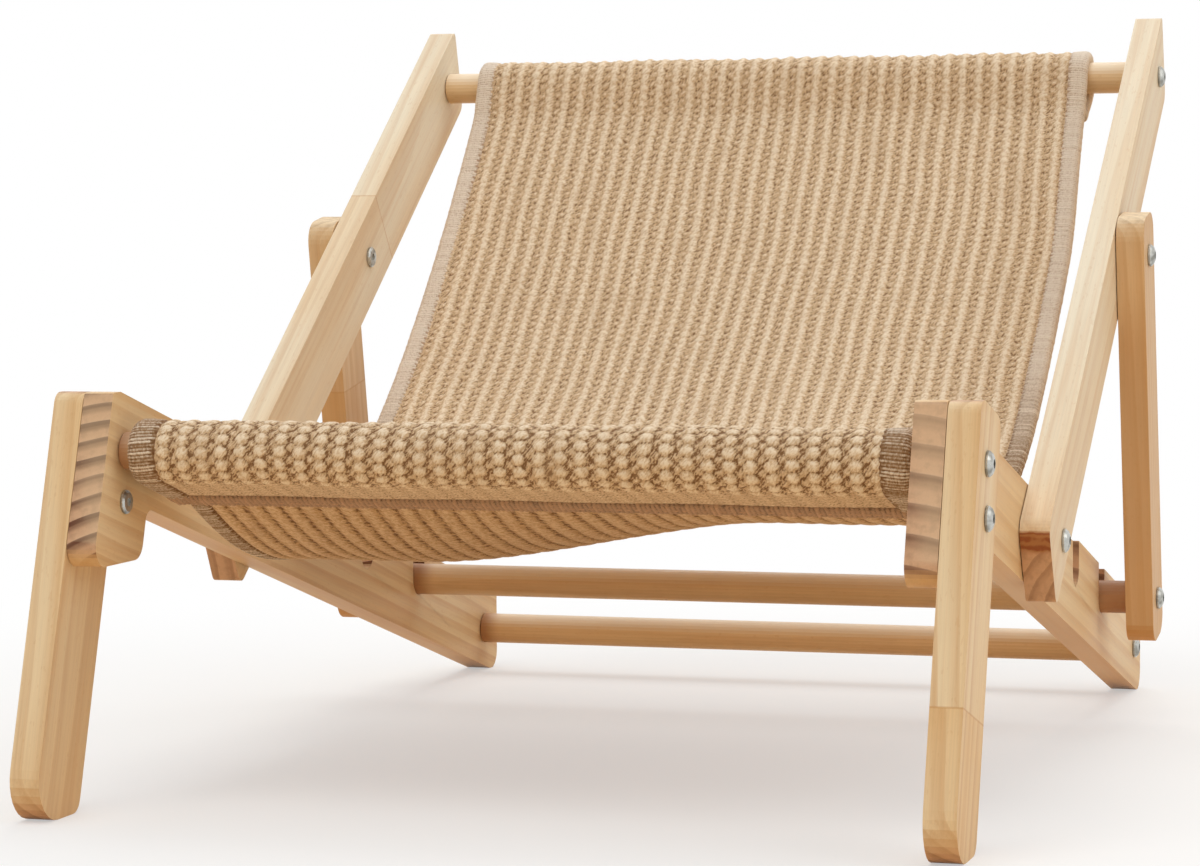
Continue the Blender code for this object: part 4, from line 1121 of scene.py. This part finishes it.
class HAMMOCK_OT_finish_fasteners(bpy.types.Operator):
    """Plate the bolts and sleeve nuts and give the inserts brass"""

    bl_idname = "hammock.finish_fasteners"
    bl_label = "Finish Fasteners"

    def execute(self, context):
        look = context.scene.hammock_metal
        zinc = plated_material("plated_zinc", look.zinc_colour, look.dull_zinc_colour)
        brass = plated_material("turned_brass", look.brass_colour, look.dull_brass_colour)
        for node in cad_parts:
            if node.endswith("_insert"):
                dress(node, brass)
            elif node.endswith(("_bolt", "_nut")):
                dress(node, zinc)
        return {"FINISHED"}


class HAMMOCK_OT_weave_sling(bpy.types.Operator):
    """Weave the sling round both rods"""

    bl_idname = "hammock.weave_sling"
    bl_label = "Weave Sling"

    def execute(self, context):
        look = context.scene.hammock_sling
        yarn = yarn_material("woven_sisal_yarn", look.knot_colour, look.yarn_colour, look.groove_shade_colour,
                             (0.0, 0.0, 0.75), 0.0012, weave=(look.rib_pitch, look.row_pitch),
                             under=look.under_shade_tint)
        sling = build_sling_cloth(ClothSurface(), look, yarn)
        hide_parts("sling")
        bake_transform(sling)
        return {"FINISHED"}


class HAMMOCK_OT_sew_hems(bpy.types.Operator):
    """Overlock the sling's four edges and stitch its two rod sleeves"""

    bl_idname = "hammock.sew_hems"
    bl_label = "Sew Hems and Seams"

    def execute(self, context):
        sling = bpy.data.objects.get("sling_cloth")
        if sling is None:
            raise RuntimeError("weave the sling before its hems")
        look = context.scene.hammock_sling
        middle = Vector(look.hem_colour).lerp(Vector(look.hem_gap_shade_colour), 0.20)
        thread = yarn_material("overlock_thread", look.hem_colour, middle, look.hem_gap_shade_colour,
                               (0.0, 0.0, 0.2), 0.0005, gathered=True)
        # The seam thread's painted highlight and painted shade
        pale = [min(1.0, 1.40 * value) for value in look.seam_colour]
        deep = [0.32 * value for value in look.seam_colour]
        dark = yarn_material("seam_thread", pale, look.seam_colour, deep, (0.0, 0.0, 0.4), 0.0005)
        surface = ClothSurface()
        pieces = [
            side_hem("left_hem", surface, -1.0, look, thread, 3),
            side_hem("right_hem", surface, 1.0, look, thread, 5),
            end_hem("front_end_hem", surface, True, look, dark, 7),
            end_hem("back_end_hem", surface, False, look, dark, 11),
            stitch_line("front_seam_stitches", surface, SEAM_INSET, look, dark),
            stitch_line("back_seam_stitches", surface, surface.length - SEAM_INSET, look, dark)]
        for piece in pieces:
            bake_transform(piece)
        return {"FINISHED"}


# Stage


def seen_directly(graph):
    """1 for the rays of the camera, mirrors and glass."""
    path = graph.node("ShaderNodeLightPath")
    seen = path["Is Camera Ray"].maths("ADD", path["Is Glossy Ray"], clamp=True)
    return seen.maths("ADD", path["Is Transmission Ray"], clamp=True)


def build_floor(bounce):
    """A large pale floor that keeps the chair's soft shadow and fades to white."""
    bpy.ops.mesh.primitive_grid_add(x_subdivisions=8, y_subdivisions=8, size=30.0, location=(0.0, 0.0, 0.0))
    floor = bpy.context.active_object
    floor.name = "studio_floor"
    material, graph, shader = new_material("studio_floor_white")
    fill(shader, Base_Color=(0.93, 0.925, 0.915), Roughness=0.9, Specular_IOR_Level=0.0)
    white = graph.node("ShaderNodeEmission", Color=(1.0, 1.0, 1.0), Strength=1.0)
    reach = graph.vector_maths("LENGTH", graph.node("ShaderNodeTexCoord")["Object"])["Value"]
    shown = graph.node("ShaderNodeMixShader", reach.remap(0.30, 0.85, 0.45, 1.0),
                       Value(graph, shader.outputs[0]), white)
    bounced = graph.node("ShaderNodeBsdfDiffuse", Color=bounce)
    split = graph.node("ShaderNodeMixShader", seen_directly(graph), bounced, shown)
    fill(material.node_tree.nodes["Material Output"], Surface=split)
    floor.data.materials.append(material)


def build_world(above, sides):
    """Soft light that grows from the floor up, white where the camera sees it."""
    world = bpy.data.worlds.new("studio_world")
    bpy.context.scene.world = world
    world.use_nodes = True
    world.node_tree.nodes.clear()
    graph = Graph(world.node_tree)
    upward = graph.split(graph.node("ShaderNodeTexCoord")["Generated"])["Z"]
    plain = graph.node("ShaderNodeBackground", Color=(1.0, 0.99, 0.97),
                       Strength=upward.remap(-0.1, 0.9, sides, above))
    white = graph.node("ShaderNodeBackground", Color=(1.0, 1.0, 1.0), Strength=1.0)
    graph.node("ShaderNodeOutputWorld", graph.node("ShaderNodeMixShader", seen_directly(graph), plain, white))


def area_light(name, place, size, power_watts, colour):
    """A large square light aimed at the chair's middle."""
    light = bpy.data.lights.new(name, "AREA")
    light.shape = "SQUARE"
    light.size = size
    light.energy = power_watts
    light.color = colour
    lamp = bpy.data.objects.new(name, light)
    lamp.location = place
    lamp.rotation_mode = "QUATERNION"
    lamp.rotation_quaternion = (Vector((0.0, 0.0, 0.18)) - Vector(place)).to_track_quat("-Z", "Y")
    bpy.context.scene.collection.objects.link(lamp)


def build_camera(settings):
    """The camera at the photograph's viewing angle."""
    azimuth, elevation, roll = settings.azimuth, settings.elevation, settings.roll
    back = Vector((math.sin(azimuth) * math.cos(elevation), -math.cos(azimuth) * math.cos(elevation),
                   math.sin(elevation)))
    right = Vector((math.cos(azimuth), math.sin(azimuth), 0.0))
    up = right.cross(-back)
    turned_right = right * math.cos(roll) + up * math.sin(roll)
    turned_up = up * math.cos(roll) - right * math.sin(roll)
    camera = bpy.data.cameras.new("photo_camera")
    camera.lens = settings.lens
    camera.sensor_width = 36.0
    camera.clip_start = 0.05
    camera.clip_end = 60.0
    obj = bpy.data.objects.new("photo_camera", camera)
    basis = Matrix((turned_right, turned_up, back)).transposed().to_4x4()
    obj.matrix_world = Matrix.Translation(settings.place) @ basis
    bpy.context.scene.collection.objects.link(obj)
    bpy.context.scene.camera = obj


class HAMMOCK_OT_set_stage(bpy.types.Operator):
    """Set the floor, the studio light and the camera"""

    bl_idname = "hammock.set_stage"
    bl_label = "Set Stage"

    def execute(self, context):
        settings = context.scene.hammock_studio
        build_floor(settings.bounce_colour)
        build_world(settings.sky_strength, settings.side_strength)
        area_light("key_light", (-0.4, -1.5, 2.8), 1.8, settings.key_power, (1.0, 0.985, 0.96))
        area_light("fill_light", (2.3, -0.5, 1.9), 1.8, settings.fill_power, (1.0, 0.99, 0.975))
        area_light("top_light", (0.0, 1.5, 2.3), 2.0, settings.top_power, (1.0, 1.0, 1.0))
        build_camera(settings)
        context.scene.view_settings.view_transform = "Standard"
        return {"FINISHED"}


class HAMMOCK_PT_finishes(bpy.types.Panel):
    """Finishes of the hammock chair"""

    bl_idname = "HAMMOCK_PT_finishes"
    bl_label = "Hammock Chair"
    bl_space_type = "VIEW_3D"
    bl_region_type = "UI"
    bl_category = "Hammock Chair"

    def draw(self, context):
        scene = context.scene
        for operator, settings in (
                ("hammock.finish_boards", scene.hammock_wood),
                ("hammock.finish_rods", None),
                ("hammock.finish_fasteners", scene.hammock_metal),
                ("hammock.weave_sling", scene.hammock_sling),
                ("hammock.sew_hems", None),
                ("hammock.set_stage", scene.hammock_studio)):
            box = self.layout.box()
            box.operator(operator)
            if settings is not None:
                for name in settings.__annotations__:
                    box.prop(settings, name)


CLASSES = (
    SlingSettings, WoodSettings, MetalSettings, StudioSettings, HAMMOCK_OT_finish_boards,
    HAMMOCK_OT_finish_rods, HAMMOCK_OT_finish_fasteners, HAMMOCK_OT_weave_sling,
    HAMMOCK_OT_sew_hems, HAMMOCK_OT_set_stage, HAMMOCK_PT_finishes)


SETTINGS = {
    "hammock_sling": SlingSettings,
    "hammock_wood": WoodSettings,
    "hammock_metal": MetalSettings,
    "hammock_studio": StudioSettings,
}


def register():
    """Registers the classes and their settings."""
    for cls in CLASSES:
        bpy.utils.register_class(cls)
    for name, cls in SETTINGS.items():
        setattr(bpy.types.Scene, name, PointerProperty(type=cls))


def unregister():
    """Removes the classes and their settings."""
    for name in SETTINGS:
        delattr(bpy.types.Scene, name)
    for cls in reversed(CLASSES):
        bpy.utils.unregister_class(cls)


def main():
    """Runs every step."""
    register()
    bpy.ops.hammock.finish_boards()
    bpy.ops.hammock.finish_rods()
    bpy.ops.hammock.finish_fasteners()
    bpy.ops.hammock.weave_sling()
    bpy.ops.hammock.sew_hems()
    bpy.ops.hammock.set_stage()


if __name__ == "__main__":
    main()
